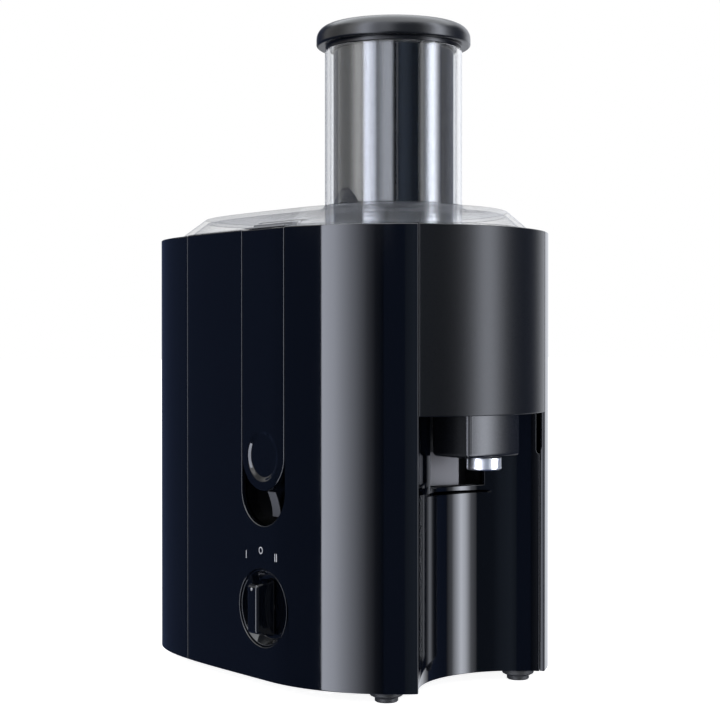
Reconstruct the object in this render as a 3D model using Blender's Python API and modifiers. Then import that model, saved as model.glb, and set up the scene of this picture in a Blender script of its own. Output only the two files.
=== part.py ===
"""Centrifugal juicer with a side pulp container, a jug bay and two lid clamps.

Working frame: the drum's axis is the Z axis, +X points to the jug bay, -Y is
the control side and Z = 0 is the lower edge of the housing. The root empty
moves all of it so that the world origin lies under the middle of the object,
on the surface that it stands on. Sizes are in metres.
"""

from math import atan2, cos, pi, radians, sin, sqrt

import bmesh
import bpy

MM = 0.001

# Clearances and walls
GAP = 0.3 * MM
WALL = 3.0 * MM
LINER_WALL = 1.5 * MM
PLATE = 3.0 * MM

# Housing
SHELL_RADIUS = 99.0 * MM
SHELL_HEIGHT = 275.0 * MM
FLAT_END_X = -18.0 * MM
LEFT_END_X = -169.0 * MM
LEFT_SQUARENESS = 4.0
LEDGE_WIDTH = 13.2 * MM
LEDGE = 3.0 * MM
SEAM_X = -91.0 * MM
PULP_WALL = 2.5 * MM
FOOT_HEIGHT = 7.0 * MM
FOOT_RADIUS = 10.0 * MM
FOOT_TIP_RADIUS = 7.0 * MM
FRONT_FOOT_X = 61.0 * MM
FRONT_FOOT_Y = 57.5 * MM
REAR_FOOT_X = 64.0 * MM
REAR_FOOT_Y = 49.0 * MM
LEFT_FOOT_X = -118.0 * MM
LEFT_FOOT_Y = 44.0 * MM

# Jug bay
BAY_AXIS_X = 121.0 * MM
BAY_RADIUS = 64.0 * MM
BAY_HEIGHT = 162.0 * MM
BAY_WALL = 2.5 * MM
WINDOW_MARGIN = 1.2 * MM
WINDOW_SILL_Z = 117.0 * MM
POCKET_DEPTH = 12.0 * MM

# Juice bowl and spout
BOWL_RADIUS = 81.0 * MM
BOWL_WALL = 2.0 * MM
BOWL_FLOOR_Z = 168.0 * MM
BOWL_FLOOR = 2.5 * MM
BOWL_RIM_WIDTH = 4.5 * MM
BOWL_RIM_HEIGHT = 3.0 * MM
CHIMNEY_RADIUS = 16.0 * MM
CHIMNEY_TOP_Z = 180.0 * MM
SPOUT_HALF_WIDTH = 21.3 * MM
SPOUT_OVERLAP = 21.0 * MM
SPOUT_BOTTOM_Z = 136.5 * MM
NOZZLE_X = 84.0 * MM
NOZZLE_RADIUS = 10.6 * MM
NOZZLE_BORE = 6.0 * MM
NOZZLE_LENGTH = 7.4 * MM
EXIT_HALF_WIDTH = 42.0 * MM
EXIT_SILL_Z = 250.0 * MM

# Lid, feed tube and pusher
LID_INSET = 12.0 * MM
LID_CHAMFER = 14.0 * MM
LID_EDGE = 1.5 * MM
LID_HEIGHT = 13.5 * MM
LID_WALL = 2.5 * MM
TUBE_RADIUS = 44.0 * MM
TUBE_WALL = 3.0 * MM
TUBE_TOP_Z = 392.0 * MM
TUBE_BOTTOM_Z = 266.0 * MM
PUSHER_CLEARANCE = 2.5 * MM
PUSHER_WALL = 2.5 * MM
PUSHER_BOTTOM_Z = 268.0 * MM
CAP_SKIRT_INSET = 0.5 * MM
CAP_SKIRT_HEIGHT = 2.4 * MM
CAP_OVERHANG = 5.4 * MM
CAP_THICKNESS = 13.9 * MM

# Sieve and drive
SIEVE_BASE_RADIUS = 40.0 * MM
SIEVE_CLEARANCE = 10.0 * MM
SIEVE_BASE_Z = 197.0 * MM
SIEVE_TOP_Z = 254.0 * MM
SIEVE_WALL = 1.0 * MM
SIEVE_RIM_WIDTH = 4.0 * MM
SIEVE_RIM_HEIGHT = 5.0 * MM
GRATER_THICKNESS = 2.0 * MM
SHAFT_RADIUS = 4.0 * MM
SHAFT_BOTTOM_Z = 52.0 * MM
COUPLING_RADIUS = 10.0 * MM
COUPLING_BOTTOM_Z = 172.5 * MM
COUPLING_TOP_Z = 192.0 * MM
BEARING_RADIUS = 10.0 * MM
BEARING_HEIGHT = 7.0 * MM
CAN_RADIUS = 39.0 * MM
CAN_WALL = 2.0 * MM
CAN_BOTTOM_Z = 50.0 * MM
CAN_TOP_Z = 148.0 * MM
STATOR_INNER_RADIUS = 25.0 * MM
STATOR_BOTTOM_Z = 84.0 * MM
STATOR_TOP_Z = 128.0 * MM
FAN_RADIUS = 32.0 * MM
FAN_HEIGHT = 8.0 * MM

# Controls and clamps, which share one centre line
CONTROL_X = -7.0 * MM
KNOB_Z = 44.0 * MM
DISH_RADIUS = 23.5 * MM
DISH_DEPTH = 6.0 * MM
DISH_SETBACK = 1.0 * MM
GRIP_LENGTH = 35.0 * MM
GRIP_WIDTH = 11.0 * MM
GRIP_PROUD = 8.0 * MM
SPINDLE_RADIUS = 3.0 * MM
CLAMP_HALF_WIDTH = 21.0 * MM
CLAMP_THICKNESS = 3.4 * MM
CLAMP_END_Z = 136.3 * MM
GROOVE_END_Z = 115.3 * MM
GROOVE_DEPTH = 11.2 * MM
DIMPLE_RADIUS = 15.3 * MM
DIMPLE_FLOOR_RADIUS = 13.0 * MM
DIMPLE_DEPTH = 1.5 * MM
CLAMP_PIVOT_Z = 160.0 * MM
CLAMP_PIVOT_INSET = 6.6 * MM
CLAMP_PIN_RADIUS = 1.5 * MM
CLAW_HEIGHT = 3.0 * MM
CLAW_TIP_GAP = 0.5 * MM

# Cord gland and base screws
GLAND_X = -55.0 * MM
GLAND_Z = 26.0 * MM
GLAND_RADIUS = 7.0 * MM
GLAND_BORE = 3.6 * MM
GLAND_PROUD = 6.0 * MM
SCREW_RADIUS = 1.8 * MM
SCREW_HEAD_RADIUS = 3.4 * MM
SCREW_LENGTH = 9.0 * MM

ROUND = 36
LID_BASE_Z = SHELL_HEIGHT + GAP
DECK_Z = BAY_HEIGHT
WINDOW_HALF_WIDTH = SPOUT_HALF_WIDTH + WINDOW_MARGIN
BOWL_RIM_RADIUS = BOWL_RADIUS + BOWL_RIM_WIDTH
SPOUT_BACK_X = BOWL_RADIUS - SPOUT_OVERLAP
SIEVE_TOP_RADIUS = BOWL_RADIUS - SIEVE_CLEARANCE
PUSHER_RADIUS = TUBE_RADIUS - TUBE_WALL - PUSHER_CLEARANCE
CAP_SKIRT_RADIUS = TUBE_RADIUS - CAP_SKIRT_INSET
CAP_RADIUS = TUBE_RADIUS + CAP_OVERHANG

for old in list(bpy.data.objects):
    bpy.data.objects.remove(old, do_unlink=True)

parts = bpy.data.collections.new("centrifugal_juicer")
cutters = bpy.data.collections.new("cutters")
bpy.context.scene.collection.children.link(parts)
bpy.context.scene.collection.children.link(cutters)


def new_material(name, colour, roughness, metallic, alpha=1.0):
    """A plain Principled material in the part's own colour."""
    material = bpy.data.materials.new(name)
    material.use_nodes = True
    shader = material.node_tree.nodes["Principled BSDF"]
    shader.inputs["Base Color"].default_value = (*colour, 1.0)
    shader.inputs["Roughness"].default_value = roughness
    shader.inputs["Metallic"].default_value = metallic
    shader.inputs["Alpha"].default_value = alpha
    return material


BLACK_GLOSS = ((0.010, 0.012, 0.018), 0.12, 0.0)
BLACK_SATIN = ((0.014, 0.015, 0.020), 0.35, 0.0)
BLACK_RUBBER = ((0.020, 0.020, 0.021), 0.80, 0.0)
DARK_GREY = ((0.060, 0.062, 0.068), 0.50, 0.0)
STEEL = ((0.62, 0.63, 0.65), 0.28, 1.0)
BRIGHT_METAL = ((0.80, 0.80, 0.82), 0.12, 1.0)
IRON = ((0.20, 0.20, 0.21), 0.55, 1.0)
CLEAR = ((0.85, 0.88, 0.90), 0.05, 0.0, 0.35)


def place(obj, name, look, parent, cutter=False):
    """Names an object, links it to its collection and gives it its look."""
    obj.name = name
    obj.data.name = name
    for home in list(obj.users_collection):
        home.objects.unlink(obj)
    if cutter:
        cutters.objects.link(obj)
        obj.hide_render = True
        obj.display_type = "WIRE"
    else:
        parts.objects.link(obj)
        obj.data.materials.append(new_material(name, *look))
    obj.parent = parent
    return obj


def empty(name, location, parent=None):
    holder = bpy.data.objects.new(name, None)
    holder.empty_display_size = 0.02
    parts.objects.link(holder)
    holder.location = location
    holder.parent = parent
    return holder


def prism(name, outlines, start, end, look=None, parent=None, along="Z"):
    """A flat outline extruded from start to end, along Z or along Y.

    Along Y the outline's points are (x, z) pairs. More than one outline makes
    holes. With no look it is a cutter.
    """
    curve = bpy.data.curves.new(name, "CURVE")
    curve.dimensions = "2D"
    curve.fill_mode = "BOTH"
    curve.extrude = abs(end - start) / 2
    for outline in outlines:
        spline = curve.splines.new("POLY")
        spline.points.add(len(outline) - 1)
        for point, (u, v) in zip(spline.points, outline):
            point.co = (u, v, 0.0, 1.0)
        spline.use_cyclic_u = True
    flat = bpy.data.objects.new(name + "_outline", curve)
    bpy.context.scene.collection.objects.link(flat)
    bpy.context.view_layer.update()
    graph = bpy.context.evaluated_depsgraph_get()
    mesh = bpy.data.meshes.new_from_object(flat.evaluated_get(graph))
    bpy.data.objects.remove(flat, do_unlink=True)
    bpy.data.curves.remove(curve)
    welded = bmesh.new()
    welded.from_mesh(mesh)
    bmesh.ops.remove_doubles(welded, verts=welded.verts, dist=1e-6)
    bmesh.ops.recalc_face_normals(welded, faces=welded.faces)
    welded.to_mesh(mesh)
    welded.free()
    obj = bpy.data.objects.new(name, mesh)
    middle = (start + end) / 2
    if along == "Z":
        obj.location = (0.0, 0.0, middle)
    else:
        obj.rotation_euler = (pi / 2, 0.0, 0.0)
        obj.location = (0.0, middle, 0.0)
    return place(obj, name, look, parent, cutter=look is None)


def turned(name, profile, look=None, parent=None, closed=False, steps=ROUND,
           location=(0.0, 0.0, 0.0), rotation=(0.0, 0.0, 0.0)):
    """A turned shape: (radius, height) points that run down the outer side."""
    mesh = bpy.data.meshes.new(name)
    edges = [(i, i + 1) for i in range(len(profile) - 1)]
    if closed:
        edges.append((len(profile) - 1, 0))
    mesh.from_pydata([(r, 0.0, z) for r, z in profile], edges, [])
    obj = bpy.data.objects.new(name, mesh)
    screw = obj.modifiers.new("turn", "SCREW")
    screw.axis = "Z"
    screw.angle = 2 * pi
    screw.steps = steps
    screw.render_steps = steps
    screw.use_merge_vertices = True
    screw.merge_threshold = 0.00001
    screw.use_smooth_shade = True
    obj.location = location
    obj.rotation_euler = rotation
    return place(obj, name, look, parent, cutter=look is None)


def ring(name, outer, inner, bottom, top, look, parent, **options):
    """A plain turned ring with a square section."""
    profile = [(outer, top), (outer, bottom), (inner, bottom), (inner, top)]
    return turned(name, profile, look, parent, closed=True, **options)


def disc(name, radius, bottom, top, look=None, parent=None, **options):
    """A plain turned cylinder."""
    profile = [(0.0, top), (radius, top), (radius, bottom), (0.0, bottom)]
    return turned(name, profile, look, parent, **options)


def block(name, low, high, look=None, parent=None, bevel=0.0):
    """A box between two corners."""
    mesh = bpy.data.meshes.new(name)
    shape = bmesh.new()
    bmesh.ops.create_cube(shape, size=1.0)
    size = [b - a for a, b in zip(low, high)]
    bmesh.ops.scale(shape, vec=size, verts=shape.verts)
    shape.to_mesh(mesh)
    shape.free()
    obj = bpy.data.objects.new(name, mesh)
    obj.location = [(a + b) / 2 for a, b in zip(low, high)]
    if bevel:
        rounding = obj.modifiers.new("bevel", "BEVEL")
        rounding.width = bevel
        rounding.segments = 2
        rounding.limit_method = "ANGLE"
    return place(obj, name, look, parent, cutter=look is None)


def loft(name, sections, look=None, parent=None):
    """A closed solid through rings of the same number of points."""
    mesh = bpy.data.meshes.new(name)
    shape = bmesh.new()
    rings = [[shape.verts.new(point) for point in section] for section in sections]
    count = len(sections[0])
    for lower, upper in zip(rings, rings[1:]):
        for i in range(count):
            j = (i + 1) % count
            shape.faces.new((lower[i], lower[j], upper[j], upper[i]))
    shape.faces.new(list(reversed(rings[0])))
    shape.faces.new(rings[-1])
    bmesh.ops.recalc_face_normals(shape, faces=shape.faces)
    shape.to_mesh(mesh)
    shape.free()
    obj = bpy.data.objects.new(name, mesh)
    return place(obj, name, look, parent, cutter=look is None)


def adopt(obj, parent):
    """Moves a cutter, and the cutters that shape it, under another parent."""
    obj.parent = parent
    for modifier in obj.modifiers:
        if modifier.type == "BOOLEAN":
            adopt(modifier.object, parent)


def combine(obj, other, operation):
    """Adds an exact Boolean with a cutter object."""
    adopt(other, obj.parent)
    boolean = obj.modifiers.new(operation.lower() + "_" + other.name, "BOOLEAN")
    boolean.solver = "EXACT"
    boolean.operation = operation
    boolean.object = other
    return obj


def cut(obj, *others):
    for other in others:
        combine(obj, other, "DIFFERENCE")
    return obj


def join(obj, *others):
    for other in others:
        combine(obj, other, "UNION")
    return obj


def keep(obj, *others):
    for other in others:
        combine(obj, other, "INTERSECT")
    return obj


def plan(inset, left_inset=None):
    """The housing's outline in plan, drawn in by inset: round at the bay end,
    flat along the sides and nearly square at the left end."""
    radius = SHELL_RADIUS - inset
    reach = FLAT_END_X - LEFT_END_X - (inset if left_inset is None else left_inset)
    points = []
    for i in range(29):
        angle = -pi / 2 + pi * i / 28
        points.append((radius * cos(angle), radius * sin(angle)))
    for i in range(25):
        angle = pi / 2 - pi * i / 24
        across = abs(cos(angle)) ** (2 / LEFT_SQUARENESS)
        along = abs(sin(angle)) ** (2 / LEFT_SQUARENESS)
        side = 1.0 if angle >= 0 else -1.0
        points.append((FLAT_END_X - reach * across, side * radius * along))
    return points


def rectangle(x0, x1, y0, y1):
    return [(x0, y0), (x1, y0), (x1, y1), (x0, y1)]


def circle(x, y, radius, count=48):
    points = []
    for i in range(count):
        angle = 2 * pi * (i + 0.5) / count
        points.append((x + radius * cos(angle), y + radius * sin(angle)))
    return points


def tongue(half_width, end_z, top_z):
    """An upright strip on the control line with a round lower end, as x, z."""
    points = [(CONTROL_X + half_width, top_z), (CONTROL_X - half_width, top_z)]
    for i in range(21):
        angle = pi + pi * i / 20
        points.append((CONTROL_X + half_width * cos(angle),
                       end_z + half_width * sin(angle)))
    return points


# The housing's edge at the jug bay, where the two circles cross.
BAY_EDGE_X = (SHELL_RADIUS**2 - BAY_RADIUS**2 + BAY_AXIS_X**2) / (2 * BAY_AXIS_X)
BAY_EDGE_Y = sqrt(SHELL_RADIUS**2 - BAY_EDGE_X**2)
BAY_EDGE_ANGLE = atan2(BAY_EDGE_Y, BAY_EDGE_X)
INNER = WALL + GAP
CUP_HALF_WIDTH = CLAMP_HALF_WIDTH + GAP + LINER_WALL
CUP_CORNER_X = CONTROL_X + CUP_HALF_WIDTH
CUP_SETBACK = SHELL_RADIUS + GAP - sqrt((SHELL_RADIUS - INNER)**2 - CUP_CORNER_X**2)

root_x = -(SHELL_RADIUS + LEFT_END_X) / 2
root_y = (GRIP_PROUD - GLAND_PROUD) / 2
root = empty("juicer", (root_x, root_y, FOOT_HEIGHT))

# ---------------------------------------------------------------- housing
REACH = 0.4


def half_clip(name, side):
    """Everything on one side of the middle plane, right of the seam and left
    of the jug bay's edge."""
    step = GAP / 2
    edge = BAY_EDGE_ANGLE + step / SHELL_RADIUS
    points = [(SEAM_X + step, side * step), (0.0, side * step),
              (REACH * cos(edge), side * REACH * sin(edge)),
              (REACH, side * REACH), (SEAM_X + step, side * REACH)]
    return prism(name, [points], -0.01, SHELL_HEIGHT + 0.01)


def bay_cutter(name, extra, top):
    return prism(name, [circle(BAY_AXIS_X, 0.0, BAY_RADIUS + extra, 72)], -0.02, top)


def housing_half(name, side):
    shell = prism(name, [plan(0.0), plan(LEDGE_WIDTH)], 0.0, SHELL_HEIGHT, BLACK_GLOSS,
                  root)
    cut(shell, prism(name + "_inside", [plan(WALL)], -0.01, SHELL_HEIGHT - LEDGE))
    keep(shell, half_clip(name + "_side", side))
    groove = tongue(CLAMP_HALF_WIDTH + GAP, GROOVE_END_Z, SHELL_HEIGHT + 0.01)
    notch_y = side * (SHELL_RADIUS - CUP_SETBACK + GAP)
    cut(shell, block(name + "_ledge_notch",
                     (CONTROL_X - CUP_HALF_WIDTH - GAP, min(0.0, notch_y),
                      SHELL_HEIGHT - LEDGE - 1 * MM),
                     (CONTROL_X + CUP_HALF_WIDTH + GAP, max(0.0, notch_y),
                      SHELL_HEIGHT + 1 * MM)),
        bay_cutter(name + "_bay", 0.0, BAY_HEIGHT),
        prism(name + "_groove", [groove], 0.0, side * REACH, along="Y"))
    return shell


front_shell = housing_half("front_shell", -1)
cut(front_shell, prism("front_shell_dish",
                       [circle(CONTROL_X, KNOB_Z, DISH_RADIUS + GAP)],
                       -REACH, 0.0, along="Y"))
rear_shell = housing_half("rear_shell", 1)
cut(rear_shell, prism("rear_shell_gland",
                      [circle(GLAND_X, GLAND_Z, GLAND_RADIUS + GAP, 32)],
                      0.0, REACH, along="Y"))

end_panel = prism("spout_end_panel", [plan(0.0), plan(LEDGE_WIDTH)], BAY_HEIGHT,
                  SHELL_HEIGHT, BLACK_SATIN, root)
cut(end_panel, prism("panel_inside", [plan(WALL)], -0.01, SHELL_HEIGHT - LEDGE))
panel_angle = BAY_EDGE_ANGLE - GAP / 2 / SHELL_RADIUS
wedge = [(0.0, 0.0), (REACH * cos(panel_angle), -REACH * sin(panel_angle)),
         (REACH * cos(panel_angle), REACH * sin(panel_angle))]
keep(end_panel, prism("panel_wedge", [wedge], 0.0, SHELL_HEIGHT + 0.01))

bay_wall = prism("jug_bay_wall",
                 [circle(BAY_AXIS_X, 0.0, BAY_RADIUS + BAY_WALL, 72),
                  circle(BAY_AXIS_X, 0.0, BAY_RADIUS, 72)],
                 0.0, BAY_HEIGHT - GAP, BLACK_GLOSS, root)
keep(bay_wall, prism("bay_wall_plan", [plan(INNER)], -0.01, SHELL_HEIGHT))
cut(bay_wall, block("bay_window", (0.0, -WINDOW_HALF_WIDTH, WINDOW_SILL_Z),
                    (0.08, WINDOW_HALF_WIDTH, SHELL_HEIGHT)))

# A pocket behind the window keeps juice out of the motor space.
pocket_front = BAY_AXIS_X - BAY_RADIUS - BAY_WALL - GAP
pocket_side = WINDOW_HALF_WIDTH
pocket = block("spout_pocket",
               (pocket_front - POCKET_DEPTH, -pocket_side - 2 * LINER_WALL,
                WINDOW_SILL_Z - 2 * LINER_WALL),
               (pocket_front, pocket_side + 2 * LINER_WALL, BAY_HEIGHT - GAP),
               BLACK_SATIN, root)
cut(pocket, block("pocket_hollow",
                  (pocket_front - POCKET_DEPTH + LINER_WALL, -pocket_side,
                   WINDOW_SILL_Z),
                  (pocket_front + 0.01, pocket_side, BAY_HEIGHT + 0.01)))

base_plate = prism("base_plate", [plan(INNER)], 0.0, PLATE, BLACK_SATIN, root)
cut(base_plate, bay_cutter("base_plate_bay", BAY_WALL + GAP, 0.02))

deck = prism("motor_deck", [plan(INNER)], DECK_Z, DECK_Z + PLATE, BLACK_SATIN, root)
deck_right = SEAM_X + WALL + 2 * GAP
keep(deck, prism("deck_plan", [rectangle(deck_right, REACH, -REACH, REACH)], 0.0, 0.3))
cut(deck, block("deck_spout_hole",
                (SPOUT_BACK_X - GAP, -SPOUT_HALF_WIDTH - GAP, DECK_Z - 0.01),
                (REACH, SPOUT_HALF_WIDTH + GAP, DECK_Z + 0.02)),
    disc("deck_shaft_hole", COUPLING_RADIUS + 2 * MM, DECK_Z - 0.01, DECK_Z + 0.02))

for side in (-1, 1):
    inner_y = side * (SHELL_RADIUS - GROOVE_DEPTH - LINER_WALL - GAP)
    cut(deck, block(f"deck_clamp_notch_{side}",
                    (CONTROL_X - CUP_HALF_WIDTH - GAP, min(inner_y, side * REACH),
                     DECK_Z - 0.01),
                    (CONTROL_X + CUP_HALF_WIDTH + GAP, max(inner_y, side * REACH),
                     DECK_Z + 0.02)))

side_wall = prism("body_side_wall", [plan(INNER)], PLATE + GAP,
                  SHELL_HEIGHT - LEDGE - GAP, BLACK_SATIN, root)
keep(side_wall, prism("side_wall_plan",
                      [rectangle(SEAM_X + GAP, SEAM_X + WALL + GAP, -REACH, REACH)],
                      0.0, 0.3))
cut(side_wall, block("side_wall_exit", (SEAM_X - 0.01, -EXIT_HALF_WIDTH, EXIT_SILL_Z),
                     (SEAM_X + 0.01, EXIT_HALF_WIDTH, SHELL_HEIGHT + 0.01)))

for name, x, y in (("foot_front_right", FRONT_FOOT_X, -FRONT_FOOT_Y),
                   ("foot_rear_right", REAR_FOOT_X, REAR_FOOT_Y),
                   ("foot_front_left", LEFT_FOOT_X, -LEFT_FOOT_Y),
                   ("foot_rear_left", LEFT_FOOT_X, LEFT_FOOT_Y)):
    turned(name, [(0.0, -GAP), (FOOT_RADIUS, -GAP), (FOOT_RADIUS, -FOOT_HEIGHT * 0.45),
                  (FOOT_TIP_RADIUS, -FOOT_HEIGHT * 0.6), (FOOT_TIP_RADIUS, -FOOT_HEIGHT),
                  (0.0, -FOOT_HEIGHT)], BLACK_RUBBER, root, steps=20,
           location=(x, y, 0.0))

for name, x, y in (("base_screw_front", 20.0 * MM, -72.0 * MM),
                   ("base_screw_rear", 20.0 * MM, 72.0 * MM),
                   ("base_screw_front_left", -72.0 * MM, -72.0 * MM),
                   ("base_screw_rear_left", -72.0 * MM, 72.0 * MM)):
    cut(base_plate, disc(name + "_hole", SCREW_RADIUS + GAP, -0.01, 0.01, steps=12,
                         location=(x, y, 0.0)))
    turned(name, [(0.0, SCREW_LENGTH), (SCREW_RADIUS, SCREW_LENGTH),
                  (SCREW_RADIUS, -GAP), (SCREW_HEAD_RADIUS, -GAP),
                  (SCREW_HEAD_RADIUS, -1.8 * MM), (0.0, -1.8 * MM)],
           STEEL, root, steps=12, location=(x, y, 0.0))

turned("cord_gland",
       [(GLAND_RADIUS - 1.5 * MM, GLAND_PROUD), (GLAND_RADIUS - 0.5 * MM, GAP),
        (GLAND_RADIUS, -WALL - 2 * GAP), (GLAND_RADIUS + 2 * MM, -WALL - 2 * GAP),
        (GLAND_RADIUS + 2 * MM, -WALL - 3 * MM), (GLAND_BORE, -WALL - 3 * MM),
        (GLAND_BORE, GLAND_PROUD)],
       BLACK_RUBBER, root, closed=True, steps=24,
       location=(GLAND_X, SHELL_RADIUS, GLAND_Z), rotation=(-pi / 2, 0.0, 0.0))

# ---------------------------------------------------------- pulp container
pulp_slide = empty("pulp_container_slide", (SEAM_X, 0.0, 0.0), root)
PULP_FLOOR_Z = PLATE + 2 * GAP


def left_of(name, x, bottom, top):
    return prism(name, [rectangle(-REACH, x, -REACH, REACH)], bottom, top)


def pulp_piece(name, inset, x, bottom, top, look=None):
    piece = prism(name, [plan(inset)], bottom, top, look, root)
    keep(piece, left_of(name + "_left", x, bottom - 0.01, top + 0.01))
    return piece


pulp = pulp_piece("pulp_container", 0.0, SEAM_X - GAP / 2, 0.0, SHELL_HEIGHT - GAP,
                  BLACK_GLOSS)
cut(pulp, pulp_piece("pulp_hollow", PULP_WALL, SEAM_X - GAP / 2 - PULP_WALL,
                     PULP_FLOOR_Z + PULP_WALL, SHELL_HEIGHT - LEDGE),
    pulp_piece("pulp_mouth", LEDGE_WIDTH, SEAM_X - GAP / 2 - PULP_WALL,
               SHELL_HEIGHT - LEDGE - 0.01, SHELL_HEIGHT + 0.01),
    pulp_piece("pulp_underside", PULP_WALL, SEAM_X + 0.01, -0.01, PULP_FLOOR_Z),
    block("pulp_inlet", (SEAM_X - GAP - 2 * PULP_WALL, -EXIT_HALF_WIDTH, EXIT_SILL_Z),
          (SEAM_X + 0.01, EXIT_HALF_WIDTH, SHELL_HEIGHT + 0.01)))
# ---------------------------------------------------------------- motor
spin = empty("spin_axis", (0.0, 0.0, 0.0), root)

turned("motor_can",
       [(BEARING_RADIUS + GAP, CAN_TOP_Z), (CAN_RADIUS, CAN_TOP_Z),
        (CAN_RADIUS, CAN_BOTTOM_Z), (BEARING_RADIUS + GAP, CAN_BOTTOM_Z),
        (BEARING_RADIUS + GAP, CAN_BOTTOM_Z + CAN_WALL),
        (CAN_RADIUS - CAN_WALL, CAN_BOTTOM_Z + CAN_WALL),
        (CAN_RADIUS - CAN_WALL, CAN_TOP_Z - CAN_WALL),
        (BEARING_RADIUS + GAP, CAN_TOP_Z - CAN_WALL)],
       IRON, root, closed=True)
ring("motor_stator", CAN_RADIUS - CAN_WALL - GAP, STATOR_INNER_RADIUS,
     STATOR_BOTTOM_Z, STATOR_TOP_Z, IRON, root)
ring("motor_rotor", STATOR_INNER_RADIUS - 3 * GAP, SHAFT_RADIUS + GAP,
     STATOR_BOTTOM_Z, STATOR_TOP_Z, IRON, spin, steps=32)
disc("drive_shaft", SHAFT_RADIUS, SHAFT_BOTTOM_Z, COUPLING_TOP_Z - 6 * MM, STEEL, spin,
     steps=24)
ring("lower_bearing", BEARING_RADIUS, SHAFT_RADIUS + GAP, CAN_BOTTOM_Z,
     CAN_BOTTOM_Z + BEARING_HEIGHT, STEEL, root, steps=24)
ring("upper_bearing", BEARING_RADIUS, SHAFT_RADIUS + GAP, CAN_TOP_Z - BEARING_HEIGHT,
     CAN_TOP_Z, STEEL, root, steps=24)
ring("motor_mount", CAN_RADIUS - 2 * MM, BEARING_RADIUS + 4 * MM, CAN_TOP_Z + GAP,
     DECK_Z - GAP, BLACK_RUBBER, root, steps=32)
fan_z = CAN_BOTTOM_Z + BEARING_HEIGHT + 6 * MM
fan = ring("motor_fan", FAN_RADIUS * 0.35, SHAFT_RADIUS + GAP, fan_z,
           fan_z + FAN_HEIGHT, DARK_GREY, spin, steps=24)
for i in range(6):
    blade = block(f"fan_blade_{i}", (SHAFT_RADIUS + 2 * MM, -0.8 * MM, fan_z + 1 * MM),
                  (FAN_RADIUS, 0.8 * MM, fan_z + FAN_HEIGHT - 1 * MM))
    blade.location = (0.0, 0.0, fan_z + FAN_HEIGHT / 2)
    blade.location.x = (SHAFT_RADIUS + 2 * MM + FAN_RADIUS) / 2 * cos(i * pi / 3)
    blade.location.y = (SHAFT_RADIUS + 2 * MM + FAN_RADIUS) / 2 * sin(i * pi / 3)
    blade.rotation_euler = (0.0, 0.0, i * pi / 3)
    join(fan, blade)

ring("deck_seal", CHIMNEY_RADIUS - 3 * MM, SHAFT_RADIUS + 2 * GAP,
     DECK_Z + PLATE + GAP, COUPLING_BOTTOM_Z - 3 * GAP, BLACK_RUBBER, root, steps=24)

# ------------------------------------------------------- sieve and coupling
coupling = disc("drive_coupling", COUPLING_RADIUS - 2 * MM, COUPLING_BOTTOM_Z,
                COUPLING_TOP_Z, BLACK_SATIN, spin, steps=24)
for i in range(3):
    lug = block(f"coupling_lug_{i}", (0.0, 0.0, 0.0), (0.001, 0.001, 0.001))
    lug.scale = (2 * COUPLING_RADIUS / MM, 4.0, (COUPLING_TOP_Z - COUPLING_BOTTOM_Z) / MM - 4)
    lug.location = (0.0, 0.0, (COUPLING_TOP_Z + COUPLING_BOTTOM_Z) / 2)
    lug.rotation_euler = (0.0, 0.0, i * pi / 3)
    join(coupling, lug)
cut(coupling, disc("coupling_bore", SHAFT_RADIUS + GAP, COUPLING_BOTTOM_Z - 0.01,
                   COUPLING_TOP_Z - 6 * MM + GAP, steps=24))

HUB_RADIUS = COUPLING_RADIUS + 4 * MM
turned("sieve_hub",
       [(0.0, SIEVE_BASE_Z - GAP), (HUB_RADIUS + 8 * MM, SIEVE_BASE_Z - GAP),
        (HUB_RADIUS + 8 * MM, SIEVE_BASE_Z - 2 * MM), (HUB_RADIUS, SIEVE_BASE_Z - 3 * MM),
        (HUB_RADIUS, CHIMNEY_TOP_Z + 2 * MM), (COUPLING_RADIUS + GAP, CHIMNEY_TOP_Z + 2 * MM),
        (COUPLING_RADIUS + GAP, COUPLING_TOP_Z + GAP), (0.0, COUPLING_TOP_Z + GAP)],
       BLACK_SATIN, spin, steps=32)
grater_top = SIEVE_BASE_Z + GRATER_THICKNESS
turned("grater_disc",
       [(0.0, grater_top), (SIEVE_BASE_RADIUS - SIEVE_WALL - GAP, grater_top),
        (SIEVE_BASE_RADIUS - SIEVE_WALL - GAP, SIEVE_BASE_Z), (0.0, SIEVE_BASE_Z)],
       STEEL, spin)
turned("sieve_basket",
       [(SIEVE_TOP_RADIUS, SIEVE_TOP_Z), (SIEVE_BASE_RADIUS, SIEVE_BASE_Z - 1 * MM),
        (SIEVE_BASE_RADIUS - SIEVE_WALL, SIEVE_BASE_Z - 1 * MM),
        (SIEVE_TOP_RADIUS - SIEVE_WALL, SIEVE_TOP_Z)],
       STEEL, spin, closed=True)
ring("sieve_rim", SIEVE_TOP_RADIUS + SIEVE_RIM_WIDTH - 1 * MM, SIEVE_TOP_RADIUS - 1 * MM,
     SIEVE_TOP_Z + GAP, SIEVE_TOP_Z + SIEVE_RIM_HEIGHT, BLACK_SATIN, spin)

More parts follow.
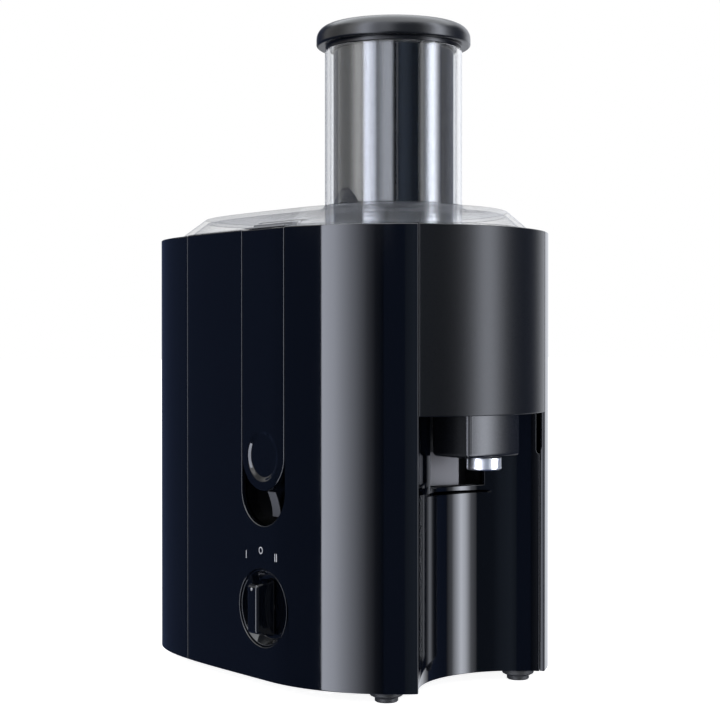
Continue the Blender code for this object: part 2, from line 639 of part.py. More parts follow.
# ---------------------------------------------------------------- juice bowl
bowl_top = SHELL_HEIGHT - 2 * MM
bowl_inner = BOWL_RADIUS - BOWL_WALL
bowl = turned("juice_bowl",
              [(BOWL_RIM_RADIUS, bowl_top), (BOWL_RIM_RADIUS, bowl_top - BOWL_RIM_HEIGHT),
               (BOWL_RADIUS, bowl_top - BOWL_RIM_HEIGHT), (BOWL_RADIUS, BOWL_FLOOR_Z),
               (CHIMNEY_RADIUS, BOWL_FLOOR_Z),
               (CHIMNEY_RADIUS, CHIMNEY_TOP_Z), (CHIMNEY_RADIUS + BOWL_WALL, CHIMNEY_TOP_Z),
               (CHIMNEY_RADIUS + BOWL_WALL, BOWL_FLOOR_Z + BOWL_FLOOR),
               (bowl_inner, BOWL_FLOOR_Z + BOWL_FLOOR), (bowl_inner, bowl_top)],
              DARK_GREY, root, closed=True, steps=48)
spout_block = block("spout_block", (SPOUT_BACK_X, -SPOUT_HALF_WIDTH, SPOUT_BOTTOM_Z),
                    (SHELL_RADIUS, SPOUT_HALF_WIDTH, BOWL_FLOOR_Z + BOWL_FLOOR))
keep(spout_block, disc("spout_front", SHELL_RADIUS - INNER - GAP, 0.0, SHELL_HEIGHT,
                       steps=72))
spout_wall = 2.5 * MM
join(bowl, spout_block)
cut(bowl, block("spout_chamber",
                (SPOUT_BACK_X + spout_wall, -SPOUT_HALF_WIDTH + spout_wall,
                 SPOUT_BOTTOM_Z + spout_wall),
                (SHELL_RADIUS - INNER - 1.7 * spout_wall, SPOUT_HALF_WIDTH - spout_wall,
                 BOWL_FLOOR_Z)),
    block("spout_inlet",
          (SPOUT_BACK_X + spout_wall, -SPOUT_HALF_WIDTH + spout_wall,
           BOWL_FLOOR_Z - 3 * MM),
          (bowl_inner - 4 * MM, SPOUT_HALF_WIDTH - spout_wall,
           BOWL_FLOOR_Z + BOWL_FLOOR + 2 * MM)),
    disc("spout_outlet", NOZZLE_BORE, SPOUT_BOTTOM_Z - 0.01, SPOUT_BOTTOM_Z + 0.01,
         steps=24, location=(NOZZLE_X, 0.0, 0.0)),
    block("bowl_exit", (-SHELL_RADIUS, -EXIT_HALF_WIDTH, EXIT_SILL_Z),
          (-BOWL_RADIUS / 2, EXIT_HALF_WIDTH, SHELL_HEIGHT + 0.01)))

ring("spout_nozzle", NOZZLE_RADIUS, NOZZLE_BORE, SPOUT_BOTTOM_Z - GAP - NOZZLE_LENGTH,
     SPOUT_BOTTOM_Z - GAP, BRIGHT_METAL, root, steps=32, location=(NOZZLE_X, 0.0, 0.0))

# ------------------------------------------------------------ lid and tube
lid_lift = empty("lid_lift", (0.0, 0.0, 0.0), root)


def section(inset, height):
    return [(x, y, height) for x, y in plan(inset)]


lid_top_z = LID_BASE_Z + LID_HEIGHT
lid = loft("lid", [section(LID_INSET, LID_BASE_Z), section(LID_INSET, LID_BASE_Z + LID_EDGE),
                   section(LID_INSET + LID_CHAMFER, lid_top_z)], CLEAR, lid_lift)
cut(lid, loft("lid_hollow",
              [section(LID_INSET + LID_WALL, LID_BASE_Z - 5 * MM),
               section(LID_INSET + LID_WALL, LID_BASE_Z),
               section(LID_INSET + LID_CHAMFER + LID_WALL * 0.4, lid_top_z - LID_WALL)]))
join(lid, disc("tube_outside", TUBE_RADIUS, TUBE_BOTTOM_Z, TUBE_TOP_Z, steps=48))
cut(lid, disc("tube_bore", TUBE_RADIUS - TUBE_WALL, TUBE_BOTTOM_Z - 0.01,
              TUBE_TOP_Z + 0.01, steps=48))
ring("lid_seal", BOWL_RIM_RADIUS - 0.5 * MM, BOWL_RADIUS, bowl_top + GAP,
     LID_BASE_Z - GAP, BLACK_RUBBER, lid_lift)

# ---------------------------------------------------------------- pusher
pusher = empty("pusher_slide", (0.0, 0.0, 0.0), lid_lift)
cap_z = TUBE_TOP_Z + GAP
turned("pusher_body",
       [(PUSHER_RADIUS, cap_z - GAP), (PUSHER_RADIUS, PUSHER_BOTTOM_Z + 3 * MM),
        (PUSHER_RADIUS - 3 * MM, PUSHER_BOTTOM_Z), (0.0, PUSHER_BOTTOM_Z),
        (0.0, PUSHER_BOTTOM_Z + PUSHER_WALL),
        (PUSHER_RADIUS - PUSHER_WALL, PUSHER_BOTTOM_Z + PUSHER_WALL + 2 * MM),
        (PUSHER_RADIUS - PUSHER_WALL, cap_z - GAP), (PUSHER_RADIUS, cap_z - GAP)],
       BLACK_GLOSS, pusher)
rim_z = cap_z + CAP_SKIRT_HEIGHT
cap_top = rim_z + CAP_THICKNESS
plug = PUSHER_RADIUS - PUSHER_WALL - GAP
round_edge = [(CAP_RADIUS - 8 * MM + 8 * MM * sin(a), cap_top - 1 * MM - 8 * MM + 8 * MM * cos(a))
              for a in [radians(d) for d in (10, 30, 50, 70, 90)]]
turned("pusher_cap",
       [(0.0, cap_top), (CAP_RADIUS - 16 * MM, cap_top - 0.4 * MM)] + round_edge
       + [(CAP_RADIUS, rim_z + 1.5 * MM), (CAP_RADIUS - 1.5 * MM, rim_z),
          (CAP_SKIRT_RADIUS, rim_z), (CAP_SKIRT_RADIUS, cap_z), (plug, cap_z),
          (plug, cap_z - 8 * MM), (plug - 2 * MM, cap_z - 8 * MM), (plug - 2 * MM, cap_z),
          (0.0, cap_z)],
       BLACK_GLOSS, pusher)

# ---------------------------------------------------------------- clamps
def clamp(side_name, side):
    """One lid clamp: a liner in the housing, the rocking arm, its claw and pin."""
    shell_y = side * SHELL_RADIUS
    groove = tongue(CLAMP_HALF_WIDTH + GAP, GROOVE_END_Z, SHELL_HEIGHT + 0.01)
    outside = tongue(CLAMP_HALF_WIDTH + GAP + LINER_WALL, GROOVE_END_Z, SHELL_HEIGHT - GAP)
    back = shell_y - side * (GROOVE_DEPTH + LINER_WALL)
    front = shell_y - side * CUP_SETBACK
    cup = prism(side_name + "_clamp_cup", [outside], back, front, BLACK_SATIN, root,
                along="Y")
    cut(cup, prism(side_name + "_cup_hollow", [groove], shell_y,
                   shell_y - side * GROOVE_DEPTH, along="Y"))

    pivot_y = shell_y - side * CLAMP_PIVOT_INSET
    hinge = empty(side_name + "_clamp_hinge", (CONTROL_X, pivot_y, CLAMP_PIVOT_Z), root)
    arm = prism(side_name + "_clamp_arm", [plan(0.0), plan(CLAMP_THICKNESS)],
                CLAMP_END_Z - CLAMP_HALF_WIDTH - 0.01, SHELL_HEIGHT - GAP, BLACK_GLOSS,
                root)
    keep(arm, prism(side_name + "_arm_outline",
                    [tongue(CLAMP_HALF_WIDTH, CLAMP_END_Z, SHELL_HEIGHT + 0.01)],
                    0.0, side * REACH, along="Y"))
    outward = (pi / 2, 0.0, 0.0) if side < 0 else (-pi / 2, 0.0, 0.0)
    cut(arm, turned(side_name + "_dimple",
                    [(0.0, 5 * MM), (DIMPLE_RADIUS, 5 * MM), (DIMPLE_RADIUS, 0.0),
                     (DIMPLE_FLOOR_RADIUS, -DIMPLE_DEPTH), (0.0, -DIMPLE_DEPTH)],
                    location=(CONTROL_X, shell_y, CLAMP_END_Z), rotation=outward,
                    steps=32))
    ear_radius = CLAMP_PIN_RADIUS + 1.6 * MM
    for i, x in enumerate((-14.0 * MM, 14.0 * MM)):
        join(arm, block(f"{side_name}_ear_{i}",
                        (CONTROL_X + x - 2 * MM,
                         min(pivot_y - side * ear_radius, shell_y - side * 3 * MM),
                         CLAMP_PIVOT_Z - ear_radius),
                        (CONTROL_X + x + 2 * MM,
                         max(pivot_y - side * ear_radius, shell_y - side * 3 * MM),
                         CLAMP_PIVOT_Z + ear_radius)))
    pin = disc(side_name + "_clamp_pin", CLAMP_PIN_RADIUS, -CLAMP_HALF_WIDTH,
               CLAMP_HALF_WIDTH, STEEL, root, steps=16,
               location=(CONTROL_X, pivot_y, CLAMP_PIVOT_Z), rotation=(0.0, pi / 2, 0.0))
    cut(arm, disc(side_name + "_pin_hole", CLAMP_PIN_RADIUS + GAP, -CLAMP_HALF_WIDTH,
                  CLAMP_HALF_WIDTH, steps=16, location=(CONTROL_X, pivot_y, CLAMP_PIVOT_Z),
                  rotation=(0.0, pi / 2, 0.0)))
    tip = side * (SHELL_RADIUS - LID_INSET + CLAW_TIP_GAP)
    claw_out = shell_y - side * 1 * MM
    leg_out = shell_y - side * (CLAMP_THICKNESS + 2 * GAP)
    leg_in = leg_out - side * 2 * MM
    claw = block(side_name + "_clamp_claw",
                 (CONTROL_X - CLAMP_HALF_WIDTH + 1 * MM, min(tip, claw_out),
                  SHELL_HEIGHT + GAP),
                 (CONTROL_X + CLAMP_HALF_WIDTH - 1 * MM, max(tip, claw_out),
                  SHELL_HEIGHT + GAP + CLAW_HEIGHT), DARK_GREY, root)
    join(claw, block(side_name + "_claw_leg",
                     (CONTROL_X - 14 * MM, min(leg_in, leg_out), SHELL_HEIGHT - 14 * MM),
                     (CONTROL_X + 14 * MM, max(leg_in, leg_out), SHELL_HEIGHT + 1 * MM)))
    return arm, claw


clamp("front", -1)
clamp("rear", 1)

# ---------------------------------------------------------------- knob
front_turn = (pi / 2, 0.0, 0.0)
dish_rim = SHELL_RADIUS - DISH_SETBACK
dish_floor = dish_rim - DISH_DEPTH
turned("knob_dish",
       [(DISH_RADIUS, dish_rim), (DISH_RADIUS, dish_floor - LINER_WALL),
        (SPINDLE_RADIUS + GAP, dish_floor - LINER_WALL), (SPINDLE_RADIUS + GAP, dish_floor),
        (DISH_RADIUS - 4 * MM, dish_floor), (DISH_RADIUS - 0.8 * MM, dish_rim)],
       BLACK_GLOSS, root, closed=True,
       location=(CONTROL_X, 0.0, KNOB_Z), rotation=front_turn)
knob_turn = empty("knob_axis", (CONTROL_X, -SHELL_RADIUS, KNOB_Z), root)
knob = disc("knob", DISH_RADIUS - 5 * MM, dish_floor + GAP - SHELL_RADIUS,
            dish_floor + 2.5 * MM - SHELL_RADIUS, BLACK_GLOSS, knob_turn, rotation=front_turn)
grip = block("knob_grip", (-GRIP_WIDTH / 2, -GRIP_LENGTH / 2, dish_floor + 1 * MM - SHELL_RADIUS),
             (GRIP_WIDTH / 2, GRIP_LENGTH / 2, GRIP_PROUD), bevel=1.5 * MM)
grip.rotation_euler = front_turn
grip_mid = (GRIP_PROUD + dish_floor + 1 * MM - SHELL_RADIUS) / 2
grip.location = (0.0, -grip_mid, 0.0)
join(knob, grip)
spindle_start = SHELL_RADIUS - dish_floor - GAP
turned("knob_spindle",
       [(0.0, -spindle_start - 0.5 * MM), (SPINDLE_RADIUS, -spindle_start - 0.5 * MM),
        (SPINDLE_RADIUS, -spindle_start - 8 * MM), (0.0, -spindle_start - 8 * MM)],
       DARK_GREY, knob_turn, steps=16, rotation=front_turn)
switch_front = -(dish_floor - LINER_WALL) + GAP
switch = block("switch_body", (CONTROL_X - 13 * MM, switch_front, KNOB_Z - 15 * MM),
               (CONTROL_X + 13 * MM, switch_front + 24 * MM, KNOB_Z + 15 * MM),
               DARK_GREY, root)
cut(switch, disc("switch_bore", SPINDLE_RADIUS + GAP, 0.0, spindle_start + 9 * MM,
                 steps=16, location=(CONTROL_X, -SHELL_RADIUS + spindle_start + 9 * MM, KNOB_Z),
                 rotation=front_turn))

# Moving pieces hang from the empty on their joint's axis.
bpy.context.view_layer.update()


def hang(name, holder_name):
    """Puts a piece and its cutters under a joint's empty, where they are."""
    piece = bpy.data.objects[name]
    holder = bpy.data.objects[holder_name]
    offset = holder.matrix_world.inverted() @ root.matrix_world
    members = [piece]
    for member in members:
        for modifier in member.modifiers:
            if modifier.type == "BOOLEAN":
                members.append(modifier.object)
    for member in members:
        member.parent = holder
        member.matrix_parent_inverse = offset


for side_name in ("front", "rear"):
    for piece_name in ("clamp_arm", "clamp_claw"):
        hang(f"{side_name}_{piece_name}", f"{side_name}_clamp_hinge")
hang("pulp_container", "pulp_container_slide")

for obj in parts.objects:
    if obj.type == "MESH":
        obj.data.shade_smooth()
        obj.data.set_sharp_from_angle(angle=radians(35))
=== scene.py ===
import math

import bpy
from mathutils import Matrix, Vector


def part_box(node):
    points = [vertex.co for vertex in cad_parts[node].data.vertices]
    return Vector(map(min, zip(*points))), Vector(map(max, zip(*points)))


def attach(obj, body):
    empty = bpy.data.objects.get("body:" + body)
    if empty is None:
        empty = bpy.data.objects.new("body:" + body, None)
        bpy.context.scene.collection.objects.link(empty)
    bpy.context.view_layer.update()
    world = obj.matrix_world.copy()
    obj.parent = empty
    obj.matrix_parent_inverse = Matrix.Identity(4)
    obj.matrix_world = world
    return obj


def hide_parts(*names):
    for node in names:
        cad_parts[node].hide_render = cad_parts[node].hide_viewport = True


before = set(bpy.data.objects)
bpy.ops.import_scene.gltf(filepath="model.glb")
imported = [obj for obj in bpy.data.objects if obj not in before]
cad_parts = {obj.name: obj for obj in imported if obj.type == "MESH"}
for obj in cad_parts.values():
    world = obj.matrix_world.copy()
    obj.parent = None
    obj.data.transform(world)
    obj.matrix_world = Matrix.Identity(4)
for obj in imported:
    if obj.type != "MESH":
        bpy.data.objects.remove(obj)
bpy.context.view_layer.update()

# ---- Studio
# A pale worktop and a white surround, with tall soft panels standing round the
# juicer. The polished black housing shows only the panels, as in a studio
# where everything but the lamps is flagged off in black.


def deselect():
    for shown in bpy.context.selected_objects:
        shown.select_set(False)


deselect()
bpy.ops.mesh.primitive_plane_add(size=40.0, location=(0.0, 0.0, 0.0))
worktop = bpy.context.object
worktop.name = "worktop"
worktop.visible_glossy = False
pale = bpy.data.materials.new("pale_worktop")
pale.use_nodes = True
pale_shader = pale.node_tree.nodes["Principled BSDF"]
pale_shader.inputs["Base Color"].default_value = (0.93, 0.93, 0.93, 1.0)
pale_shader.inputs["Roughness"].default_value = 0.9
pale_shader.inputs["Specular IOR Level"].default_value = 0.0
pale_shader.inputs["Emission Color"].default_value = (1.0, 1.0, 1.0, 1.0)
pale_shader.inputs["Emission Strength"].default_value = 0.9
worktop.data.materials.append(pale)

surround = bpy.data.worlds.new("white_surround")
surround.use_nodes = True
surround.cycles.sampling_method = "NONE"
bpy.context.scene.world = surround
bpy.context.scene.view_settings.view_transform = "Standard"
sky = surround.node_tree.nodes
sky_links = surround.node_tree.links
white = sky["Background"]
white.inputs["Color"].default_value = (1.0, 1.0, 1.0, 1.0)
white.inputs["Strength"].default_value = 1.0
# Gloss sees a dark blue surround, except from inside a clear wall.
flagged = sky.new("ShaderNodeBackground")
flagged.inputs["Color"].default_value = (0.045, 0.064, 0.13, 1.0)
flagged.inputs["Strength"].default_value = 1.0
ray = sky.new("ShaderNodeLightPath")
inside_clear = sky.new("ShaderNodeMath")
inside_clear.operation = "COMPARE"
inside_clear.inputs[1].default_value = 2.0
inside_clear.inputs[2].default_value = 1.5
sky_links.new(ray.outputs["Transmission Depth"], inside_clear.inputs[0])
dark_share = sky.new("ShaderNodeMath")
dark_share.operation = "SUBTRACT"
sky_links.new(ray.outputs["Glossy Depth"], dark_share.inputs[0])
sky_links.new(inside_clear.outputs[0], dark_share.inputs[1])
either = sky.new("ShaderNodeMixShader")
sky_links.new(dark_share.outputs[0], either.inputs[0])
sky_links.new(white.outputs[0], either.inputs[1])
sky_links.new(flagged.outputs[0], either.inputs[2])
sky_links.new(either.outputs[0], sky["World Output"].inputs["Surface"])


panel_distance = 4.0
panel_strength = 10.0
above_housing = 0.62


def soft_panel(name, turn_from, turn_to, stops, low=-3.0, high=4.0, tint=(1.0, 1.0, 1.0),
               through=True):
    """A tall glowing panel between two directions round the juicer.

    Directions are in degrees from the control side towards the jug bay, and
    stops are (place across, brightness) pairs from the first direction on.
    A panel that isn't seen through clear pieces has through off.
    """
    deselect()
    bpy.ops.mesh.primitive_plane_add(size=1.0)
    panel = bpy.context.object
    panel.name = name
    for corner in panel.data.vertices:
        turn = math.radians(turn_from if corner.co.x < 0 else turn_to)
        height = low if corner.co.y < 0 else high
        corner.co = (panel_distance * math.sin(turn), -panel_distance * math.cos(turn), height)
    glow = bpy.data.materials.new(name)
    glow.use_nodes = True
    nodes = glow.node_tree.nodes
    links = glow.node_tree.links
    nodes.remove(nodes["Principled BSDF"])
    across = nodes.new("ShaderNodeTexCoord")
    parts = nodes.new("ShaderNodeSeparateXYZ")
    ramp = nodes.new("ShaderNodeValToRGB")
    while len(ramp.color_ramp.elements) < len(stops):
        ramp.color_ramp.elements.new(0.5)
    for element, (place_across, brightness) in zip(ramp.color_ramp.elements, stops):
        element.position = place_across
        element.color = (*[brightness * part for part in tint], 1.0)
    lamp = nodes.new("ShaderNodeEmission")
    lamp.inputs["Strength"].default_value = panel_strength
    links.new(across.outputs["UV"], parts.inputs[0])
    links.new(parts.outputs["X"], ramp.inputs[0])
    links.new(ramp.outputs[0], lamp.inputs["Color"])
    links.new(lamp.outputs[0], nodes["Material Output"].inputs["Surface"])
    panel.data.materials.append(glow)
    panel.visible_camera = False
    panel.visible_diffuse = False
    panel.visible_shadow = False
    panel.visible_transmission = through


soft_panel("front_panel", -2.5, 43.0, [(0.0, 0.95), (0.22, 0.79), (0.36, 0.56), (0.48, 0.38), (0.61, 0.22),
                                       (0.74, 0.08), (0.87, 0.015), (1.0, 0.0)],
           low=-9.0, tint=(0.835, 0.874, 1.0))
soft_panel("fill_panel", 58.0, 104.0, [(0.0, 0.02), (0.15, 0.035), (0.4, 0.025), (0.55, 0.012), (1.0, 0.01)],
           tint=(0.6, 0.75, 1.0))
soft_panel("bay_panel", 100.0, 142.0, [(0.0, 0.02), (0.22, 0.2), (0.38, 0.95), (0.5, 1.2), (0.62, 0.7),
                                       (0.8, 0.12), (1.0, 0.01)], tint=(0.86, 0.9, 1.0))
soft_panel("rear_panel", 178.0, 250.0, [(0.0, 0.03), (0.1, 0.1), (0.25, 0.17), (0.45, 0.12), (0.7, 0.08),
                                        (1.0, 0.03)], tint=(0.9, 0.93, 1.0), through=False)
# The upper panels stand above the housing's view and light the pusher and tube.
soft_panel("upper_left_panel", -75.0, -1.0, [(0.0, 0.1), (0.39, 0.06), (0.6, 0.08), (0.78, 0.29), (1.0, 0.2)],
           low=above_housing, high=6.0)
soft_panel("upper_front_panel", 5.0, 54.0, [(0.0, 0.05), (0.4, 0.15), (0.6, 0.3), (0.82, 0.3), (0.93, 0.03),
                                            (1.0, 0.0)],
           low=above_housing, high=6.0, tint=(0.86, 0.9, 1.0))
soft_panel("upper_bay_panel", 62.0, 105.0, [(0.0, 0.0), (0.1, 0.08), (0.4, 0.12), (0.6, 0.15), (1.0, 0.15)],
           low=above_housing, high=6.0)
# A ceiling panel lights the lid, the cap's shoulder and the recesses.
deselect()
bpy.ops.mesh.primitive_plane_add(size=9.0, location=(0.0, 0.0, 3.8))
ceiling = bpy.context.object
ceiling.name = "ceiling_panel"
ceiling_glow = bpy.data.materials.new("ceiling_glow")
ceiling_glow.use_nodes = True
ceiling_lamp = ceiling_glow.node_tree.nodes["Principled BSDF"]
ceiling_lamp.inputs["Base Color"].default_value = (0.0, 0.0, 0.0, 1.0)
ceiling_lamp.inputs["Emission Color"].default_value = (0.93, 0.96, 1.0, 1.0)
ceiling_lamp.inputs["Emission Strength"].default_value = 4.0
ceiling.data.materials.append(ceiling_glow)
ceiling.visible_camera = False
ceiling.visible_diffuse = False
ceiling.visible_shadow = False

camera_turn = math.radians(49.45)
camera_distance = 1.0383
camera_height = 0.2105
aim_x = 0.035
aim_y = 0.001
deselect()
bpy.ops.object.camera_add(location=(aim_x + camera_distance * math.sin(camera_turn),
                                    aim_y - camera_distance * math.cos(camera_turn), camera_height))
camera = bpy.context.object
camera.name = "camera"
camera.data.sensor_width = 36.0
camera.data.lens = 80.7
heading = camera_turn + 0.02065
pitch = -0.0088
ahead = Vector((-math.sin(heading) * math.cos(pitch), math.cos(heading) * math.cos(pitch),
                math.sin(pitch)))
camera.rotation_euler = ahead.to_track_quat("-Z", "Y").to_euler()
bpy.context.scene.camera = camera

# ---- Housing
# Two polished black side shells and a satin end panel, moulded in ABS with a
# ledge round the top for the lid. They clip to the base plate and meet at fine
# joints at the jug bay. Places are in millimetres from the drum's axis, and
# heights are above the housing's lower edge.
shaft_low, shaft_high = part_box("drive_shaft")
shell_low, shell_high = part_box("front_shell")
drum = Vector(((shaft_low.x + shaft_high.x) / 2, (shaft_low.y + shaft_high.y) / 2, shell_low.z))
radius = round((drum.y - shell_low.y) * 1000, 1)
height = round((shell_high.z - shell_low.z) * 1000, 1)
left_end = round((drum.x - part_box("pulp_container")[0].x) * 1000, 1)
flat_end = 18.0
wall = 3.0
ledge = 3.0
ledge_width = 13.2
seam = -91.0
gap = 0.3
control = -7.0
bay_axis = 121.0
bay_radius = 64.0
bay_height = round((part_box("spout_end_panel")[0].z - drum.z) * 1000, 1)
joint_turn = math.radians(31.9)
groove_half = 21.3
groove_end = 115.3
dish_radius = 23.5
dish_height = 44.0
gland_x = -55.0
gland_height = 26.0


def spot(x, y, z):
    """The place of a point given in millimetres from the drum's foot."""
    return drum + Vector((x, y, z)) * 0.001


def outline(turn, inset):
    """The housing's outline in plan at a turn about the drum, drawn in by inset."""
    if math.cos(turn) >= 0.0:
        return (radius - inset) * math.cos(turn), (radius - inset) * math.sin(turn)
    across = abs(math.cos(turn)) ** 0.5
    along = abs(math.sin(turn)) ** 0.5
    return (-flat_end - (left_end - flat_end - inset) * across,
            math.copysign((radius - inset) * along, math.sin(turn)))


def settle(piece):
    """Puts an object's place, turn and scale into its mesh."""
    deselect()
    piece.select_set(True)
    bpy.context.view_layer.objects.active = piece
    bpy.ops.object.transform_apply(location=True, rotation=True, scale=True)
    return piece


def face_outwards(piece):
    deselect()
    piece.select_set(True)
    bpy.context.view_layer.objects.active = piece
    bpy.ops.object.mode_set(mode="EDIT")
    bpy.ops.mesh.select_all(action="SELECT")
    bpy.ops.mesh.normals_make_consistent(inside=False)
    bpy.ops.object.mode_set(mode="OBJECT")
    return piece


def outline_block(name, *layers, steps=400):
    """A solid with the housing's outline at each layer, an (inset, height) pair."""
    deselect()
    bpy.ops.mesh.primitive_circle_add(vertices=steps, radius=0.1, fill_type="NGON")
    piece = bpy.context.object
    piece.name = name
    turns = {}
    inset, level = layers[0]
    for corner in piece.data.vertices:
        turn = math.atan2(corner.co.y, corner.co.x)
        corner.co = spot(*outline(turn, inset), level)
        turns[round(corner.co.x, 6), round(corner.co.y, 6)] = turn
    for inset, level in layers[1:]:
        bpy.ops.object.mode_set(mode="EDIT")
        bpy.ops.mesh.extrude_region_move(TRANSFORM_OT_translate={"value": (0.0, 0.0, 0.001)})
        bpy.ops.object.mode_set(mode="OBJECT")
        fresh = {}
        for corner in piece.data.vertices:
            if corner.select:
                turn = turns[round(corner.co.x, 6), round(corner.co.y, 6)]
                corner.co = spot(*outline(turn, inset), level)
                fresh[round(corner.co.x, 6), round(corner.co.y, 6)] = turn
        turns = fresh
    return face_outwards(piece)


def bar(name, low, high):
    """A square block between two corners."""
    deselect()
    size = [(b - a) * 0.001 for a, b in zip(low, high)]
    middle = spot(*[(a + b) / 2 for a, b in zip(low, high)])
    bpy.ops.mesh.primitive_cube_add(size=1.0, location=middle, scale=size)
    piece = bpy.context.object
    piece.name = name
    return settle(piece)


def rod(name, start_radius, start, end, end_radius=None, steps=128):
    """A round bar, or a cone, between two points."""
    deselect()
    a, b = spot(*start), spot(*end)
    bpy.ops.mesh.primitive_cone_add(vertices=steps, radius1=start_radius * 0.001, depth=(b - a).length,
                                    radius2=(end_radius or start_radius) * 0.001)
    piece = bpy.context.object
    piece.name = name
    piece.rotation_mode = "QUATERNION"
    piece.rotation_quaternion = (b - a).to_track_quat("Z", "Y")
    piece.location = (a + b) / 2
    return settle(piece)


def tongue(name, half_width, end, top, depth_from, depth_to, middle=control):
    """An upright bar with a round lower end, from one depth to another."""
    piece = rod(name, half_width, (middle, depth_from, end), (middle, depth_to, end))
    for corner in piece.data.vertices:
        if corner.co.z > spot(0.0, 0.0, end).z + 1e-6:
            corner.co.z = spot(0.0, 0.0, top).z
    return piece


def trim(piece, *tools, how="DIFFERENCE"):
    """Cuts away, joins or keeps what each tool covers, and uses the tool up."""
    for tool in tools:
        deselect()
        piece.select_set(True)
        bpy.context.view_layer.objects.active = piece
        change = piece.modifiers.new("trim", "BOOLEAN")
        change.operation = how
        change.solver = "EXACT"
        change.object = tool
        bpy.ops.object.modifier_apply(modifier=change.name)
        bpy.data.objects.remove(tool, do_unlink=True)
    return piece


def soften(piece, width, steps=3, angle=30.0, slot=-1):
    """Rounds the hard edges, in a material slot of their own if one is given."""
    deselect()
    piece.select_set(True)
    bpy.context.view_layer.objects.active = piece
    if width:
        bpy.ops.object.mode_set(mode="EDIT")
        bpy.ops.mesh.select_all(action="SELECT")
        bpy.ops.mesh.remove_doubles(threshold=0.00004)
        bpy.ops.object.mode_set(mode="OBJECT")
        edge = piece.modifiers.new("edge", "BEVEL")
        edge.use_clamp_overlap = False
        edge.material = slot
        edge.width = width * 0.001
        edge.segments = steps
        edge.limit_method = "ANGLE"
        edge.angle_limit = math.radians(angle)
        bpy.ops.object.modifier_apply(modifier=edge.name)
    bpy.ops.object.shade_smooth_by_angle(angle=math.radians(40.0))
    even = piece.modifiers.new("even", "WEIGHTED_NORMAL")
    even.keep_sharp = True
    bpy.ops.object.modifier_apply(modifier=even.name)
    return piece


class Wire:
    """A shader socket that takes part in sums."""

    def __init__(self, finish, socket):
        self.finish = finish
        self.socket = socket

    def sum(self, operation, first, second):
        return self.finish.node("ShaderNodeMath", {"operation": operation}, {0: first, 1: second})

    def __add__(self, other):
        return self.sum("ADD", self, other)

    def __mul__(self, other):
        return self.sum("MULTIPLY", self, other)

    def __sub__(self, other):
        return self.sum("SUBTRACT", self, other)

    def __rsub__(self, other):
        return self.sum("SUBTRACT", other, self)

    __radd__ = __add__
    __rmul__ = __mul__


class Finish:
    """A surface finish: the shader's constant values and what varies over it."""

    def __init__(self, name, colour, **values):
        self.material = bpy.data.materials.new(name)
        self.material.use_nodes = True
        self.tree = self.material.node_tree
        self.shader = self.tree.nodes["Principled BSDF"]
        self.shader.inputs["Base Color"].default_value = (*colour, 1.0)
        for key, value in values.items():
            self.shader.inputs[key.replace("_", " ")].default_value = value

    def join(self, value, socket):
        if isinstance(value, Wire):
            self.tree.links.new(value.socket, socket)
        else:
            socket.default_value = value

    def node(self, kind, settings, inputs, output=0):
        made = self.tree.nodes.new(kind)
        for key, value in settings.items():
            if key == "stops":
                ramp = made.color_ramp
                while len(ramp.elements) < len(value):
                    ramp.elements.new(0.5)
                for element, (at, shade) in zip(ramp.elements, value):
                    element.position = at
                    element.color = (*(shade if isinstance(shade, tuple) else (shade,) * 3), 1.0)
            else:
                setattr(made, key, value)
        for key, value in inputs.items():
            self.join(value, made.inputs[key])
        return Wire(self, made.outputs[output])

    def place(self, scale=(1.0, 1.0, 1.0)):
        """Object coordinates, stretched."""
        here = self.node("ShaderNodeTexCoord", {}, {}, "Object")
        return self.node("ShaderNodeMapping", {}, {"Vector": here, "Scale": scale})

    def noise(self, size, detail=3.0, stretch=(1.0, 1.0, 1.0)):
        """Soft random shading, with marks of about this size in millimetres."""
        return self.node("ShaderNodeTexNoise", {}, {"Vector": self.place(stretch), "Scale": 1000.0 / size,
                                                    "Detail": detail})

    def ramp(self, wire, *stops):
        return self.node("ShaderNodeValToRGB", {"stops": stops}, {0: wire})

    def blend(self, factor, first, second):
        """A mix of two colours."""
        return self.node("ShaderNodeMix", {"data_type": "RGBA"},
                         {0: factor, 6: first if isinstance(first, Wire) else (*first, 1.0),
                          7: second if isinstance(second, Wire) else (*second, 1.0)}, 2)

    def feed(self, name, wire):
        self.join(wire, self.shader.inputs[name])

    def relief(self, wire, depth, strength=1.0):
        """Raises the surface by up to depth, in millimetres."""
        self.feed("Normal", self.node("ShaderNodeBump", {}, {"Height": wire, "Distance": depth * 0.001,
                                                             "Strength": strength}, "Normal"))

    def coat(self, *pieces):
        for piece in pieces:
            piece.data.materials.clear()
            piece.data.materials.append(self.material)


def polished_black(name):
    """Piano black ABS: a deep gloss with faint flow marks and a little dust."""
    black = (0.0011, 0.0016, 0.0032)
    finish = Finish(name, black, IOR=1.46)
    flow = finish.noise(60.0, 2.0)
    dust = finish.ramp(finish.noise(0.7, 1.0), (0.0, 0.0), (0.76, 0.0), (0.82, 1.0))
    finish.feed("Roughness", finish.ramp(flow, (0.3, 0.04), (0.7, 0.075)) + dust * 0.05)
    finish.feed("Base Color", finish.blend(dust * 0.1, black, (0.05, 0.055, 0.065)))
    finish.relief(finish.noise(14.0, 1.0), 0.015, 0.3)
    return finish


def satin_black(name, roughness=0.34, colour=(0.0016, 0.002, 0.0032)):
    """Spark-eroded black ABS with a fine even grain."""
    finish = Finish(name, colour, IOR=1.46)
    grain = finish.noise(0.35, 2.0)
    finish.feed("Roughness", finish.ramp(grain, (0.2, roughness - 0.05), (0.8, roughness + 0.05)))
    finish.relief(grain, 0.01, 0.5)
    return finish


